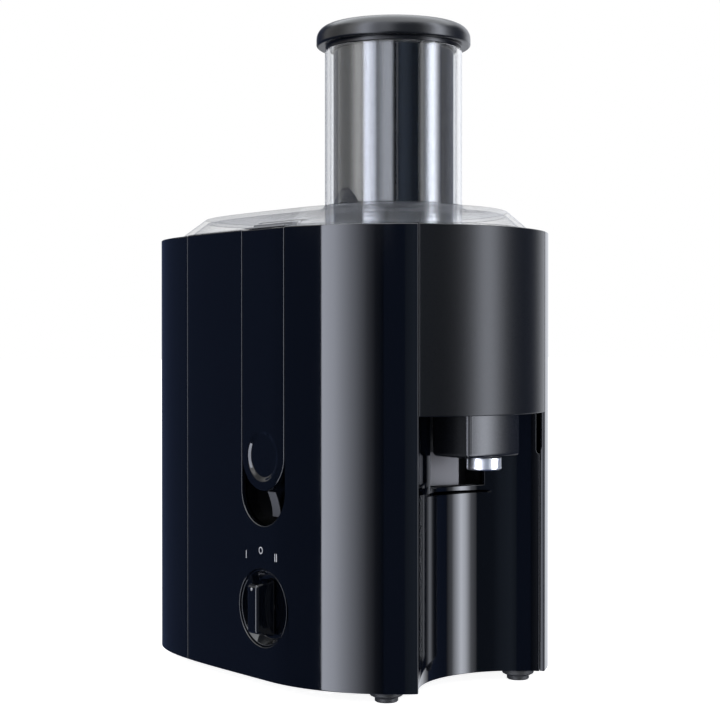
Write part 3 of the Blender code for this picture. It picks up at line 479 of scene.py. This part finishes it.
def side_of_joint(side, give=gap / 2):
    """The end panel's side of the joint between it and one side shell."""
    low = -give if side < 0 else -400.0
    high = give if side > 0 else 400.0
    wedge = bar("wedge", (0.0, low, -20.0), (400.0, high, 400.0))
    turn = Matrix.Rotation(side * joint_turn, 4, "Z")
    wedge.data.transform(Matrix.Translation(drum) @ turn @ Matrix.Translation(-drum))
    return wedge


def side_shell(name, side):
    """One side shell: the whole outline, hollowed, then halved and opened."""
    shell = outline_block(name, (0.0, 0.0), (0.0, height))
    trim(shell, outline_block("inside", (wall, -1.0), (wall, height - ledge)),
         outline_block("mouth", (ledge_width, height - 20.0), (ledge_width, height + 1.0)))
    trim(shell, bar("other_half", (-300.0, min(-gap / 2 * side, -400.0 * side), -5.0),
                    (300.0, max(-gap / 2 * side, -400.0 * side), 300.0)),
         bar("pulp_end", (-300.0, -300.0, -5.0), (seam + gap / 2, 300.0, 300.0)),
         side_of_joint(side))
    trim(shell, rod("bay", bay_radius, (bay_axis, 0.0, -10.0), (bay_axis, 0.0, bay_height), steps=256))
    trim(shell, tongue("groove", groove_half, groove_end, 290.0, 0.0, 300.0 * side))
    trim(shell, bar("notch", (control - 23.1, min(94.4 * side, 0.0), height - 4.0),
                    (control + 23.1, max(94.4 * side, 0.0), height + 1.0)))
    return shell


front_housing = side_shell("front_housing", -1)
trim(front_housing, rod("dish_hole", dish_radius + gap, (control, 0.0, dish_height),
                        (control, -300.0, dish_height)))
rear_housing = side_shell("rear_housing", 1)
trim(rear_housing, rod("gland_hole", 7.3, (gland_x, 0.0, gland_height),
                       (gland_x, 300.0, gland_height), steps=48))
housing_black = polished_black("housing_black")
for housing, node in ((front_housing, "front_shell"), (rear_housing, "rear_shell")):
    soften(housing, 0.7, 4)
    housing_black.coat(housing)
    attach(housing, "base")
    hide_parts(node)

end_panel = outline_block("end_panel", (0.0, bay_height), (0.0, height))
trim(end_panel, outline_block("inside", (wall, bay_height - 1.0), (wall, height - ledge)),
     outline_block("mouth", (ledge_width, height - 20.0), (ledge_width, height + 1.0)))
trim(end_panel, side_of_joint(-1, -gap / 2), side_of_joint(1, -gap / 2), how="INTERSECT")
soften(end_panel, 0.7, 4)
panel_satin = satin_black("panel_satin", 0.30)
panel_satin.shader.inputs["IOR"].default_value = 1.36
panel_satin.coat(end_panel)
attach(end_panel, "base")
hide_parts("spout_end_panel")

# ---- Pulp container
# The tub that catches the pulp closes the housing's left end and draws off
# sideways. It is one polished black moulding, open on top under the lid, with
# a notch in its inner wall for the bowl's chute.
pulp_wall = 2.5
exit_half = 42.0
exit_sill = 250.0


def left_of(x):
    return bar("left_of_seam", (-400.0, -300.0, -50.0), (x, 300.0, 400.0))


pulp_container = outline_block("pulp_container_shell", (0.0, 0.0), (0.0, height - gap))
hollow = outline_block("hollow", (pulp_wall, 3.6 + pulp_wall), (pulp_wall, height - ledge))
underside = outline_block("underside", (pulp_wall, -1.0), (pulp_wall, 3.6))
mouth = outline_block("mouth", (ledge_width, height - 20.0), (ledge_width, height + 1.0))
inner_face = seam - gap / 2 - pulp_wall
for opening in (hollow, mouth):
    trim(opening, left_of(inner_face), how="INTERSECT")
trim(pulp_container, left_of(seam - gap / 2), how="INTERSECT")
trim(pulp_container, hollow, mouth, underside,
     bar("chute_notch", (inner_face - 2.0, -exit_half, exit_sill), (seam + 10.0, exit_half, height + 10.0)))
soften(pulp_container, 0.7, 4)
polished_black("pulp_container_black").coat(pulp_container)
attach(pulp_container, "pulp_bin")
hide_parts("pulp_container")

# ---- Jug bay
# A curved polished wall lines the bay where the jug stands. A window near its
# top lets the spout through, with a lip and fine drip grooves below it, and a
# finger slot at each upper corner where the wall snaps off its hooks.
bay_wall_thick = 2.5
window_half = 22.5
window_sill = 117.0
slot_foot = 138.6
bay_wall = rod("bay_wall", bay_radius + bay_wall_thick, (bay_axis, 0.0, 0.0),
               (bay_axis, 0.0, bay_height - gap), steps=256)
trim(bay_wall, rod("bay_air", bay_radius, (bay_axis, 0.0, -1.0), (bay_axis, 0.0, 200.0), steps=256))
trim(bay_wall, outline_block("bay_plan", (3.3, -1.0), (3.3, 300.0)), how="INTERSECT")
trim(bay_wall, bar("bay_window", (0.0, -window_half, window_sill), (80.0, window_half, 300.0)))
lip = rod("lip_groove", bay_radius + 0.7, (bay_axis, 0.0, window_sill - 4.4),
          (bay_axis, 0.0, window_sill - 3.6), steps=256)
trim(lip, bar("lip_width", (0.0, -window_half - 4.0, 0.0), (90.0, window_half + 4.0, 200.0)), how="INTERSECT")
trim(bay_wall, lip)
for side in (-1, 1):
    beta = math.radians(52.3)
    across = Vector((-math.cos(beta), side * math.sin(beta)))
    near = Vector((bay_axis, 0.0)) + across * (bay_radius - 6.0)
    far = Vector((bay_axis, 0.0)) + across * (bay_radius + 8.0)
    slot = rod("finger_slot", 2.6, (*near, slot_foot), (*far, slot_foot), steps=32)
    for corner in slot.data.vertices:
        if corner.co.z > spot(0.0, 0.0, slot_foot).z + 1e-6:
            corner.co.z += 0.03
    trim(bay_wall, slot)
soften(bay_wall, 0.5, 3)
polished_black("bay_wall_black").coat(bay_wall)
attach(bay_wall, "base")
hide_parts("jug_bay_wall")

# A sloping splash plate stands in the pocket behind the window, with a pair of
# thin ribs that stiffen the pocket's roof.
splash_plate = bar("splash_plate", (48.5, -19.0, window_sill + 0.3), (50.5, 6.0, 139.0))
for corner in splash_plate.data.vertices:
    if corner.co.y > spot(0.0, 0.0, 0.0).y:
        corner.co.x += 0.005
        if corner.co.z > spot(0.0, 0.0, 130.0).z:
            corner.co.z -= 0.003
soften(splash_plate, 0.4)
pocket_grey = satin_black("pocket_grey", 0.4, (0.10, 0.10, 0.115))
pocket_grey.coat(splash_plate)
ribs = bar("pocket_ribs", (47.5, -9.0, 153.0), (51.0, -7.8, 161.0))
trim(ribs, bar("second_rib", (47.5, -5.0, 153.0), (51.0, -3.8, 161.0)), how="UNION")
soften(ribs, 0.3)
pocket_grey.coat(ribs)
for piece in (splash_plate, ribs):
    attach(piece, "base")

# ---- Juice bowl and spout
# The bowl round the sieve is moulded in black ABS with the spout block
# under its right side. A bright pressed ring finishes the spout, and its seam
# shows as a fine upright line.
bowl_radius = 81.0
bowl_floor = 168.0
spout_half = 21.3
spout_floor = 136.5
nozzle_x = 84.0
nozzle_radius = 10.6


def raised(name, *rings, steps=192, centre=(0.0, 0.0)):
    """A turned piece, drawn up from a disc ring by ring: (radius, height) pairs."""
    deselect()
    first_radius, first_height = rings[0]
    bpy.ops.mesh.primitive_circle_add(vertices=steps, radius=first_radius * 0.001, fill_type="NGON",
                                      location=spot(*centre, first_height))
    piece = bpy.context.object
    piece.name = name
    settle(piece)
    bpy.ops.object.mode_set(mode="EDIT")
    bpy.ops.mesh.select_all(action="SELECT")
    for (old_radius, old_height), (new_radius, new_height) in zip(rings, rings[1:]):
        bpy.ops.mesh.extrude_region_move(
            TRANSFORM_OT_translate={"value": (0.0, 0.0, (new_height - old_height) * 0.001)})
        share = new_radius / old_radius
        bpy.ops.transform.resize(value=(share, share, 1.0), center_override=spot(*centre, new_height))
    bpy.ops.object.mode_set(mode="OBJECT")
    return face_outwards(piece)


bowl = raised("bowl", (bowl_radius - 2.0, bowl_floor), (bowl_radius, bowl_floor + 2.0), (bowl_radius, 270.0),
              (85.5, 270.0), (85.5, 273.0), (79.0, 273.0), (79.0, 174.0), (75.0, 170.5), (18.0, 170.5),
              (18.0, 180.0), (16.0, 180.0), (16.0, 174.0))
spout = bar("spout", (60.0, -spout_half, spout_floor), (radius, spout_half, 170.0))
trim(spout, rod("spout_front", radius - 3.6, (0.0, 0.0, 100.0), (0.0, 0.0, 200.0), steps=256),
     how="INTERSECT")
soften(spout, 3.0, 5)
trim(bowl, spout, how="UNION")
trim(bowl, rod("shaft_way", 16.0, (0.0, 0.0, 150.0), (0.0, 0.0, 178.0)),
     bar("spout_chamber", (62.5, -18.8, 139.0), (radius - 7.6, 18.8, bowl_floor)),
     bar("spout_inlet", (62.5, -18.8, 165.0), (75.0, 18.8, 172.5)),
     rod("spout_outlet", 6.0, (nozzle_x, 0.0, 120.0), (nozzle_x, 0.0, 145.0), steps=64),
     bar("bowl_exit", (-radius, -exit_half, exit_sill), (-40.0, exit_half, 300.0)))
soften(bowl, 0.4, 2, 35.0)
satin_black("bowl_black", 0.25, (0.003, 0.0036, 0.0055)).coat(bowl)
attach(bowl, "base")
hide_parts("juice_bowl")

nozzle = raised("nozzle", (nozzle_radius - 0.8, 128.8), (nozzle_radius, 129.6), (nozzle_radius, 136.2),
                (6.6, 136.2), (6.6, 135.0), centre=(nozzle_x, 0.0))
trim(nozzle, rod("nozzle_bore", 6.0, (nozzle_x, 0.0, 120.0), (nozzle_x, 0.0, 140.0), steps=96))
seam_turn = math.radians(-21.0)
trim(nozzle, bar("nozzle_seam", (nozzle_x + nozzle_radius * math.sin(seam_turn) - 0.3, -12.0, 120.0),
                 (nozzle_x + nozzle_radius * math.sin(seam_turn) + 0.3, -9.2, 140.0)))
soften(nozzle, 0.3)
bright_ring = Finish("bright_ring", (0.86, 0.87, 0.90), Metallic=1.0)
bright_ring.feed("Roughness", bright_ring.ramp(bright_ring.noise(2.0, 2.0, (1.0, 1.0, 0.1)), (0.3, 0.32),
                                               (0.7, 0.42)))
bright_ring.coat(nozzle)
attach(nozzle, "base")
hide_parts("spout_nozzle")

# ---- Sieve
# A perforated stainless basket with a grating disc in its floor. A black
# moulded rim and hub hold it, and it spins on the motor's coupling.
sieve = raised("sieve", (40.0, 196.0), (71.0, 254.0), (70.0, 254.0), (39.0, 196.8), steps=160)
trim(sieve, rod("sieve_hole", 38.9, (0.0, 0.0, 190.0), (0.0, 0.0, 198.0), steps=160))
soften(sieve, 0.0)
perforated = Finish("perforated_steel", (0.62, 0.63, 0.65), Metallic=1.0)
cells = perforated.node("ShaderNodeTexVoronoi", {"feature": "F1"},
                        {"Vector": perforated.place(), "Scale": 700.0, "Randomness": 0.15})
holes = perforated.ramp(cells, (0.0, 1.0), (0.28, 1.0), (0.34, 0.0))
perforated.feed("Base Color", perforated.blend(holes, (0.62, 0.63, 0.65), (0.02, 0.02, 0.022)))
perforated.feed("Roughness", perforated.ramp(perforated.noise(1.5, 2.0), (0.3, 0.22), (0.7, 0.34)))
perforated.relief(1.0 - holes, 0.15, 0.6)
perforated.coat(sieve)
sieve_rim = raised("sieve_rim_ring", (74.0, 254.3), (74.0, 259.0), (72.5, 259.0), (72.5, 258.0))
trim(sieve_rim, rod("rim_bore", 70.0, (0.0, 0.0, 240.0), (0.0, 0.0, 270.0), steps=192))
soften(sieve_rim, 0.5)
satin_black("sieve_rim_black", 0.35).coat(sieve_rim)
grater = raised("grater", (38.6, 197.0), (38.6, 199.0), (37.6, 199.2))
for ring_radius, count in ((11.0, 8), (18.0, 13), (25.0, 18), (32.0, 24)):
    deselect()
    tooth = rod("tooth", 1.1, (ring_radius, 0.0, 198.8), (ring_radius, 1.2, 200.3), 0.25, 8)
    turning = [tooth]
    for step in range(1, count):
        copy = tooth.copy()
        copy.data = tooth.data.copy()
        bpy.context.collection.objects.link(copy)
        turn = Matrix.Rotation(step * 2 * math.pi / count, 4, "Z")
        copy.data.transform(Matrix.Translation(drum) @ turn @ Matrix.Translation(-drum))
        turning.append(copy)
    deselect()
    for each in [grater, *turning]:
        each.select_set(True)
    bpy.context.view_layer.objects.active = grater
    bpy.ops.object.join()
soften(grater, 0.0)


def brushed(name, colour=(0.62, 0.63, 0.65), roughness=0.28, stretch=(1.0, 1.0, 12.0)):
    """Drawn or turned steel with fine lines."""
    finish = Finish(name, colour, Metallic=1.0)
    lines = finish.noise(1.2, 4.0, stretch)
    finish.feed("Roughness", finish.ramp(lines, (0.3, roughness - 0.07), (0.7, roughness + 0.08)))
    finish.relief(lines, 0.01, 0.4)
    return finish


grater_steel = brushed("grater_steel", stretch=(1.0, 1.0, 1.0))
grater_steel.coat(grater)
for piece, node, slot_name in ((sieve, "sieve_basket", "steel"), (sieve_rim, "sieve_rim", "black_satin"),
                               (grater, "grater_disc", "steel")):
    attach(piece, "spinner")
    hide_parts(node)

# ---- Lid and feed tube
# A shallow chamfered lid over the whole housing, with a lug on each long side
# for the clamps, and the wide feed tube that rises from it through a raised
# ring. Both are moulded in clear plastic.
lid_inset = 12.0
lid_base = round((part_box("lid_seal")[1].z - drum.z) * 1000, 1) + gap
tube_top = round((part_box("lid")[1].z - drum.z) * 1000, 1)
tube_radius = 44.0
lid = outline_block("clear_lid", (lid_inset, lid_base), (lid_inset, lid_base + 1.5),
                    (lid_inset + 14.0, lid_base + 13.5), steps=320)
trim(lid, outline_block("lid_hollow", (lid_inset + 2.5, lid_base - 5.0), (lid_inset + 2.5, lid_base),
                        (lid_inset + 15.0, lid_base + 11.0), steps=320))
for side in (-1, 1):
    lug = bar("lug", (control - 20.0, min(87.0 * side, 83.0 * side), lid_base + 0.4),
              (control + 20.0, max(87.0 * side, 83.0 * side), lid_base + 4.4))
    trim(lid, lug, how="UNION")
foot_ring = raised("foot_ring", (tube_radius + 3.0, lid_base + 11.5), (tube_radius + 3.0, lid_base + 15.0),
                   (tube_radius + 0.3, lid_base + 17.5))
trim(lid, foot_ring, how="UNION")
trim(lid, rod("tube_way", tube_radius + 0.05, (0.0, 0.0, 250.0), (0.0, 0.0, 450.0), steps=192))
lid_clear = Finish("lid_clear", (0.30, 0.32, 0.37), IOR=1.49)
turned_away = lid_clear.node("ShaderNodeLayerWeight", {}, {"Blend": 0.5}, "Facing")
lid_clear.feed("Alpha", lid_clear.ramp(turned_away, (0.0, 0.04), (0.5, 0.07), (0.85, 0.2), (1.0, 0.75)))
haze = lid_clear.noise(25.0, 3.0)
lid_clear.feed("Roughness", lid_clear.ramp(haze, (0.4, 0.03), (0.8, 0.07)))
lid_clear.coat(lid)
# The lid's bevelled edges get a half-clear dark grey. This is painted shade that stands in for the dark lines
# refraction draws along the clear plastic's edges.
lid_edge_painted_shade = Finish("lid_edge_painted_shade", (0.05, 0.055, 0.068), IOR=1.49)
lid_edge_painted_shade.feed("Roughness", lid_edge_painted_shade.ramp(lid_edge_painted_shade.noise(25.0, 3.0), (0.4, 0.06), (0.8, 0.1)))
lid_edge_painted_shade.shader.inputs["Alpha"].default_value = 0.5
lid.data.materials.append(lid_edge_painted_shade.material)
soften(lid, 0.5, 3, slot=1)
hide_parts("lid")
tube = raised("feed_tube", (tube_radius, 266.0), (tube_radius, tube_top))
trim(tube, rod("tube_bore", tube_radius - 3.0, (0.0, 0.0, 250.0), (0.0, 0.0, 450.0), steps=192))
soften(tube, 0.5, 3)
tube_clear = Finish("tube_clear", (0.97, 0.985, 1.0), IOR=1.49, Transmission_Weight=1.0)
tube_clear.feed("Roughness", tube_clear.ramp(tube_clear.noise(25.0, 3.0), (0.4, 0.0), (0.8, 0.02)))
tube_clear.coat(tube)
for piece in (lid, tube):
    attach(piece, "lid")

# ---- Pusher
# A hollow polished black cup that slides in the feed tube, closed by a cap
# whose thick rounded rim rests on the tube's edge.
pusher = raised("pusher_cup", (35.5, 268.0), (38.5, 271.0), (38.5, tube_top), (36.0, tube_top), (36.0, 272.5),
                (34.0, 270.5))
soften(pusher, 0.6)
cap_rim = tube_top + gap + 2.4
cap_top = cap_rim + 13.9
cap_radius = 49.4
shoulder = 8.0
curve = []
for degrees in (90, 78, 66, 54, 42, 30, 18, 6):
    lean = math.radians(degrees)
    curve.append((cap_radius - shoulder + shoulder * math.sin(lean),
                  cap_top - 1.0 - shoulder + shoulder * math.cos(lean)))
cap = raised("pusher_lid", (33.4, tube_top - 7.7), (35.4, tube_top - 7.7), (35.4, tube_top + gap),
             (43.5, tube_top + gap), (43.5, cap_rim), (cap_radius - 1.0, cap_rim),
             (cap_radius, cap_rim + 1.0), *curve, (33.4, cap_top - 0.4), (12.0, cap_top))
soften(cap, 0.4)
polished_black("pusher_black").coat(pusher)
satin_black("cap_satin", 0.30, (0.0014, 0.0018, 0.003)).coat(cap)
for piece, node in ((pusher, "pusher_body"), (cap, "pusher_cap")):
    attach(piece, "pusher")
    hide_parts(node)

# ---- Clamps
# Each side has a long rocking arm set flush in the housing. Pressing the round
# dimple at its foot swings the claw at its top off the lid's lug. The arms are
# polished ABS and the claws grey acetal. A sprung catch stands in the recess
# under the arm's foot, fixed to the base.
pivot_height = 160.0
clamp_half = 21.0
clamp_end = 136.3
dimple_floor = 13.0


def clamp_arm(name, side):
    arm = outline_block(name, (0.0, 100.0), (0.0, height - gap))
    trim(arm, outline_block("arm_back", (3.4, 90.0), (3.4, height + 10.0)))
    trim(arm, tongue("arm_outline", clamp_half, clamp_end, height + 5.0, 0.0, side * 300.0), how="INTERSECT")
    dimple = rod("dimple", dimple_floor, (control, side * (radius - 1.5), clamp_end),
                 (control, side * (radius + 5.0), clamp_end), dimple_floor + 2.3 * 6.5 / 1.5)
    trim(arm, dimple)
    for x in (control - 14.0, control + 14.0):
        near, far = sorted((side * 89.3, side * 96.0))
        trim(arm, bar("ear", (x - 2.0, near, pivot_height - 3.1), (x + 2.0, far, pivot_height + 3.1)),
             how="UNION")
    trim(arm, rod("pin_hole", 1.8, (control - clamp_half, side * 92.4, pivot_height),
                  (control + clamp_half, side * 92.4, pivot_height), steps=24))
    return soften(arm, 0.7, 4)


def clamp_claw(name, side):
    reach = [side * depth for depth in (98.0, 90.8, 87.5)]
    near, far = sorted(reach[:2])
    claw = bar(name, (control - 20.0, near, height + gap), (control + 20.0, far, height + 1.2))
    near, far = sorted(reach[1:])
    trim(claw, bar("claw_tip", (control - 20.0, near, height + gap), (control + 20.0, far, height + 3.3)),
         how="UNION")
    near, far = sorted((side * 95.0, side * 93.0))
    trim(claw, bar("claw_leg", (control - 14.0, near, height - 14.0), (control + 14.0, far, height + 1.0)),
         how="UNION")
    return soften(claw, 0.35)


claw_grey = satin_black("claw_grey", 0.35, (0.16, 0.165, 0.18))
arm_black = polished_black("arm_black")
# The spring tab is glossy black. Its grey colour here is a painted reflection, standing in for the light its
# curved face catches.
tab_painted_reflection = satin_black("tab_painted_reflection", 0.22, (0.07, 0.073, 0.085))
for side, word in ((-1, "front"), (1, "rear")):
    arm = clamp_arm(word + "_arm", side)
    arm_black.coat(arm)
    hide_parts(word + "_clamp_arm")
    claw = clamp_claw(word + "_claw", side)
    claw_grey.coat(claw)
    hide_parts(word + "_clamp_claw")
    spring_tab = bar(word + "_spring_tab", (control - 1.5, -1.0, 99.0), (control + 6.5, 0.0, 114.6))
    bpy.ops.object.mode_set(mode="EDIT")
    bpy.ops.mesh.subdivide(number_cuts=7)
    bpy.ops.object.mode_set(mode="OBJECT")
    for corner in spring_tab.data.vertices:
        rise = (corner.co.z - spot(0.0, 0.0, 99.0).z) / 0.0156
        corner.co.y = drum.y + side * 0.001 * (89.2 + 4.0 * rise * rise - (corner.co.y - drum.y) * 1000 * 0.8)
    face_outwards(spring_tab)
    soften(spring_tab, 0.3)
    tab_painted_reflection.coat(spring_tab)
    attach(spring_tab, "base")
    for piece in (arm, claw):
        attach(piece, word + "_clamp")

# ---- Rotary switch
# A dished ring in the housing with a round knob and a bar grip, all polished
# black, and the three settings printed above it in pale grey.
grip_proud = round((drum.y - radius / 1000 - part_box("knob")[0].y) * 1000, 1)
dish_floor = radius - 7.0
dish = rod("dish", dish_radius, (control, -(dish_floor - 1.5), dish_height),
           (control, -(radius - 1.0), dish_height), steps=192)
trim(dish, rod("dish_slope", dish_radius - 4.0, (control, -dish_floor, dish_height),
               (control, -radius, dish_height), dish_radius - 0.8 + 0.53, steps=192))
trim(dish, rod("dish_bore", 3.3, (control, 0.0, dish_height), (control, -radius, dish_height), steps=48))
soften(dish, 0.3)
knob_radius = 18.5
knob = rod("knob_piece", knob_radius, (control, -(dish_floor + 0.3), dish_height),
           (control, -(dish_floor + 2.5), dish_height), steps=192)
soften(knob, 0.6, 3)
grip = bar("grip", (control - 5.5, -(radius + grip_proud), dish_height - 17.5),
           (control + 5.5, -(dish_floor + 1.0), dish_height + 17.5))
outer_face = spot(0.0, -(radius + grip_proud), 0.0).y
for corner in grip.data.vertices:
    if abs(corner.co.y - outer_face) < 1e-5:
        corner.co.z += math.copysign(0.0030, drum.z + dish_height * 0.001 - corner.co.z)
        corner.co.x += math.copysign(0.0006, drum.x + control * 0.001 - corner.co.x)
soften(grip, 1.8, 5)
plinth = bar("plinth", (control - 9.5, -(dish_floor + 5.5), dish_height - 20.0),
             (control + 9.5, -(dish_floor + 1.0), dish_height + 20.0))
trim(plinth, rod("plinth_round", knob_radius - 0.2, (control, 0.0, dish_height),
                 (control, -200.0, dish_height), steps=192), how="INTERSECT")
soften(plinth, 2.2, 5)
trim(knob, plinth, grip, how="UNION")
soften(knob, 0.0)
switch_black = polished_black("switch_black")
switch_black.coat(dish, knob)
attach(dish, "base")
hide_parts("knob_dish")
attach(knob, "selector")
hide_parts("knob")

dot = rod("pointer_dot", 0.95, (control, -(radius + grip_proud - 0.5), dish_height + 12.2),
          (control, -(radius + grip_proud + 0.0), dish_height + 12.2), steps=32)
soften(dot, 0.0)
print_white = Finish("print_white", (0.40, 0.41, 0.45), Roughness=0.5)
print_white.feed("Base Color", print_white.ramp(print_white.noise(0.5, 2.0), (0.3, (0.36, 0.37, 0.41)),
                                                (0.7, (0.44, 0.45, 0.49))))
print_white.coat(dot)
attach(dot, "selector")


def on_face(piece, proud=0.06):
    """Lays a flat mark on the housing's front, a hair proud of it."""
    middle = sum((corner.co.y for corner in piece.data.vertices)) / len(piece.data.vertices)
    for corner in piece.data.vertices:
        x = (corner.co.x - drum.x) * 1000
        face = math.sqrt(radius**2 - x**2) if x > 0.0 else radius
        corner.co.y = drum.y - (face + (proud if corner.co.y < middle else -0.2)) * 0.001
    return piece


def stroke(name, x, z, tall=4.8, wide=0.55):
    return bar(name, (x - wide / 2, -radius - 1.0, z - tall / 2), (x + wide / 2, -radius + 1.0, z + tall / 2))


mark_one = on_face(stroke("mark_one", -23.6, 75.2))
mark_two = on_face(trim(stroke("mark_two", 5.85, 75.8), stroke("second_stroke", 7.35, 75.8), how="UNION"))
off_x = -8.4
off_height = 78.9
mark_off = rod("mark_off", 1.95, (off_x, -radius + 1.0, off_height), (off_x, -radius - 1.0, off_height),
               steps=64)
trim(mark_off, rod("mark_inside", 1.45, (off_x, 0.0, off_height), (off_x, -200.0, off_height), steps=64))
for corner in mark_off.data.vertices:
    corner.co.z += 0.1 * (corner.co.z - spot(0.0, 0.0, off_height).z)
on_face(mark_off)
for mark in (mark_one, mark_two, mark_off):
    soften(mark, 0.0)
    print_white.coat(mark)
    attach(mark, "base")

# ---- Feet and cord gland
# Four soft rubber feet plug into the base, and a rubber gland lines the hole
# where the cord leaves the back.
rubber = Finish("black_rubber", (0.012, 0.012, 0.013), IOR=1.5)
crumb = rubber.noise(0.9, 4.0)
rubber.feed("Roughness", rubber.ramp(crumb, (0.2, 0.48), (0.8, 0.66)))
rubber.feed("Base Color", rubber.ramp(rubber.noise(12.0, 3.0), (0.3, (0.010, 0.010, 0.011)),
                                      (0.8, (0.022, 0.022, 0.023))))
rubber.relief(crumb, 0.03, 0.5)
for name, x, y in (("foot_front_right", 61.0, -57.5), ("foot_rear_right", 64.0, 49.0),
                   ("foot_front_left", -118.0, -44.0), ("foot_rear_left", -118.0, 44.0)):
    foot = raised(name + "_rubber", (5.4, -7.0), (6.3, -7.0), (7.0, -6.4), (7.0, -4.4), (8.2, -3.9),
                  (9.6, -3.2), (10.0, -2.6), (10.0, -0.3), (9.0, -0.3), centre=(x, y), steps=96)
    soften(foot, 0.2, 2)
    rubber.coat(foot)
    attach(foot, "base")
    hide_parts(name)

gland = rod("gland", 7.0, (gland_x, radius - 3.6, gland_height), (gland_x, radius + 6.0, gland_height), 5.5,
            steps=64)
trim(gland, rod("gland_flange", 9.0, (gland_x, radius - 6.0, gland_height),
                (gland_x, radius - 3.6, gland_height), steps=64), how="UNION")
for groove in range(3):
    depth = radius + 1.4 + 1.5 * groove
    collar = rod("collar", 8.0, (gland_x, depth, gland_height), (gland_x, depth + 0.6, gland_height),
                 steps=64)
    trim(collar, rod("collar_core", 5.5 - 0.1 * groove, (gland_x, radius - 9.0, gland_height),
                     (gland_x, radius + 11.0, gland_height), steps=64))
    trim(gland, collar)
trim(gland, rod("gland_bore", 3.5, (gland_x, radius - 19.0, gland_height),
                (gland_x, radius + 21.0, gland_height), steps=48))
soften(gland, 0.2, 2)
rubber.coat(gland)
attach(gland, "base")
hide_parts("cord_gland")

# ---- Inside the housing
# What stays hidden until the juicer is opened: liners, floor, deck, motor and
# switch. Plain moulded, pressed and turned pieces, each in its own finish.
liner_black = satin_black("liner_black", 0.45, (0.004, 0.0045, 0.006))
moulded_grey = satin_black("moulded_grey", 0.5, (0.045, 0.046, 0.05))
turned_steel = brushed("turned_steel", stretch=(1.0, 1.0, 20.0))
recess_black = satin_black("recess_black", 0.25, (0.0008, 0.0009, 0.0014))
recess_black.shader.inputs["Specular IOR Level"].default_value = 0.15
laminated = brushed("laminated_iron", (0.22, 0.21, 0.20), 0.45, (0.2, 0.2, 30.0))
zinc_plated = brushed("zinc_plated", (0.55, 0.56, 0.54), 0.33, (1.0, 1.0, 1.0))
for finish, names in (
        (liner_black, ("spout_pocket", "base_plate", "motor_deck", "body_side_wall", "drive_coupling",
                       "sieve_hub")),
        (recess_black, ("front_clamp_cup", "rear_clamp_cup")),
        (moulded_grey, ("motor_fan", "knob_spindle", "switch_body")),
        (rubber, ("motor_mount", "deck_seal", "lid_seal")),
        (turned_steel, ("drive_shaft", "lower_bearing", "upper_bearing", "front_clamp_pin",
                        "rear_clamp_pin")),
        (laminated, ("motor_can", "motor_stator", "motor_rotor")),
        (zinc_plated, ("base_screw_front", "base_screw_rear", "base_screw_front_left",
                       "base_screw_rear_left"))):
    finish.coat(*[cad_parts[name] for name in names])
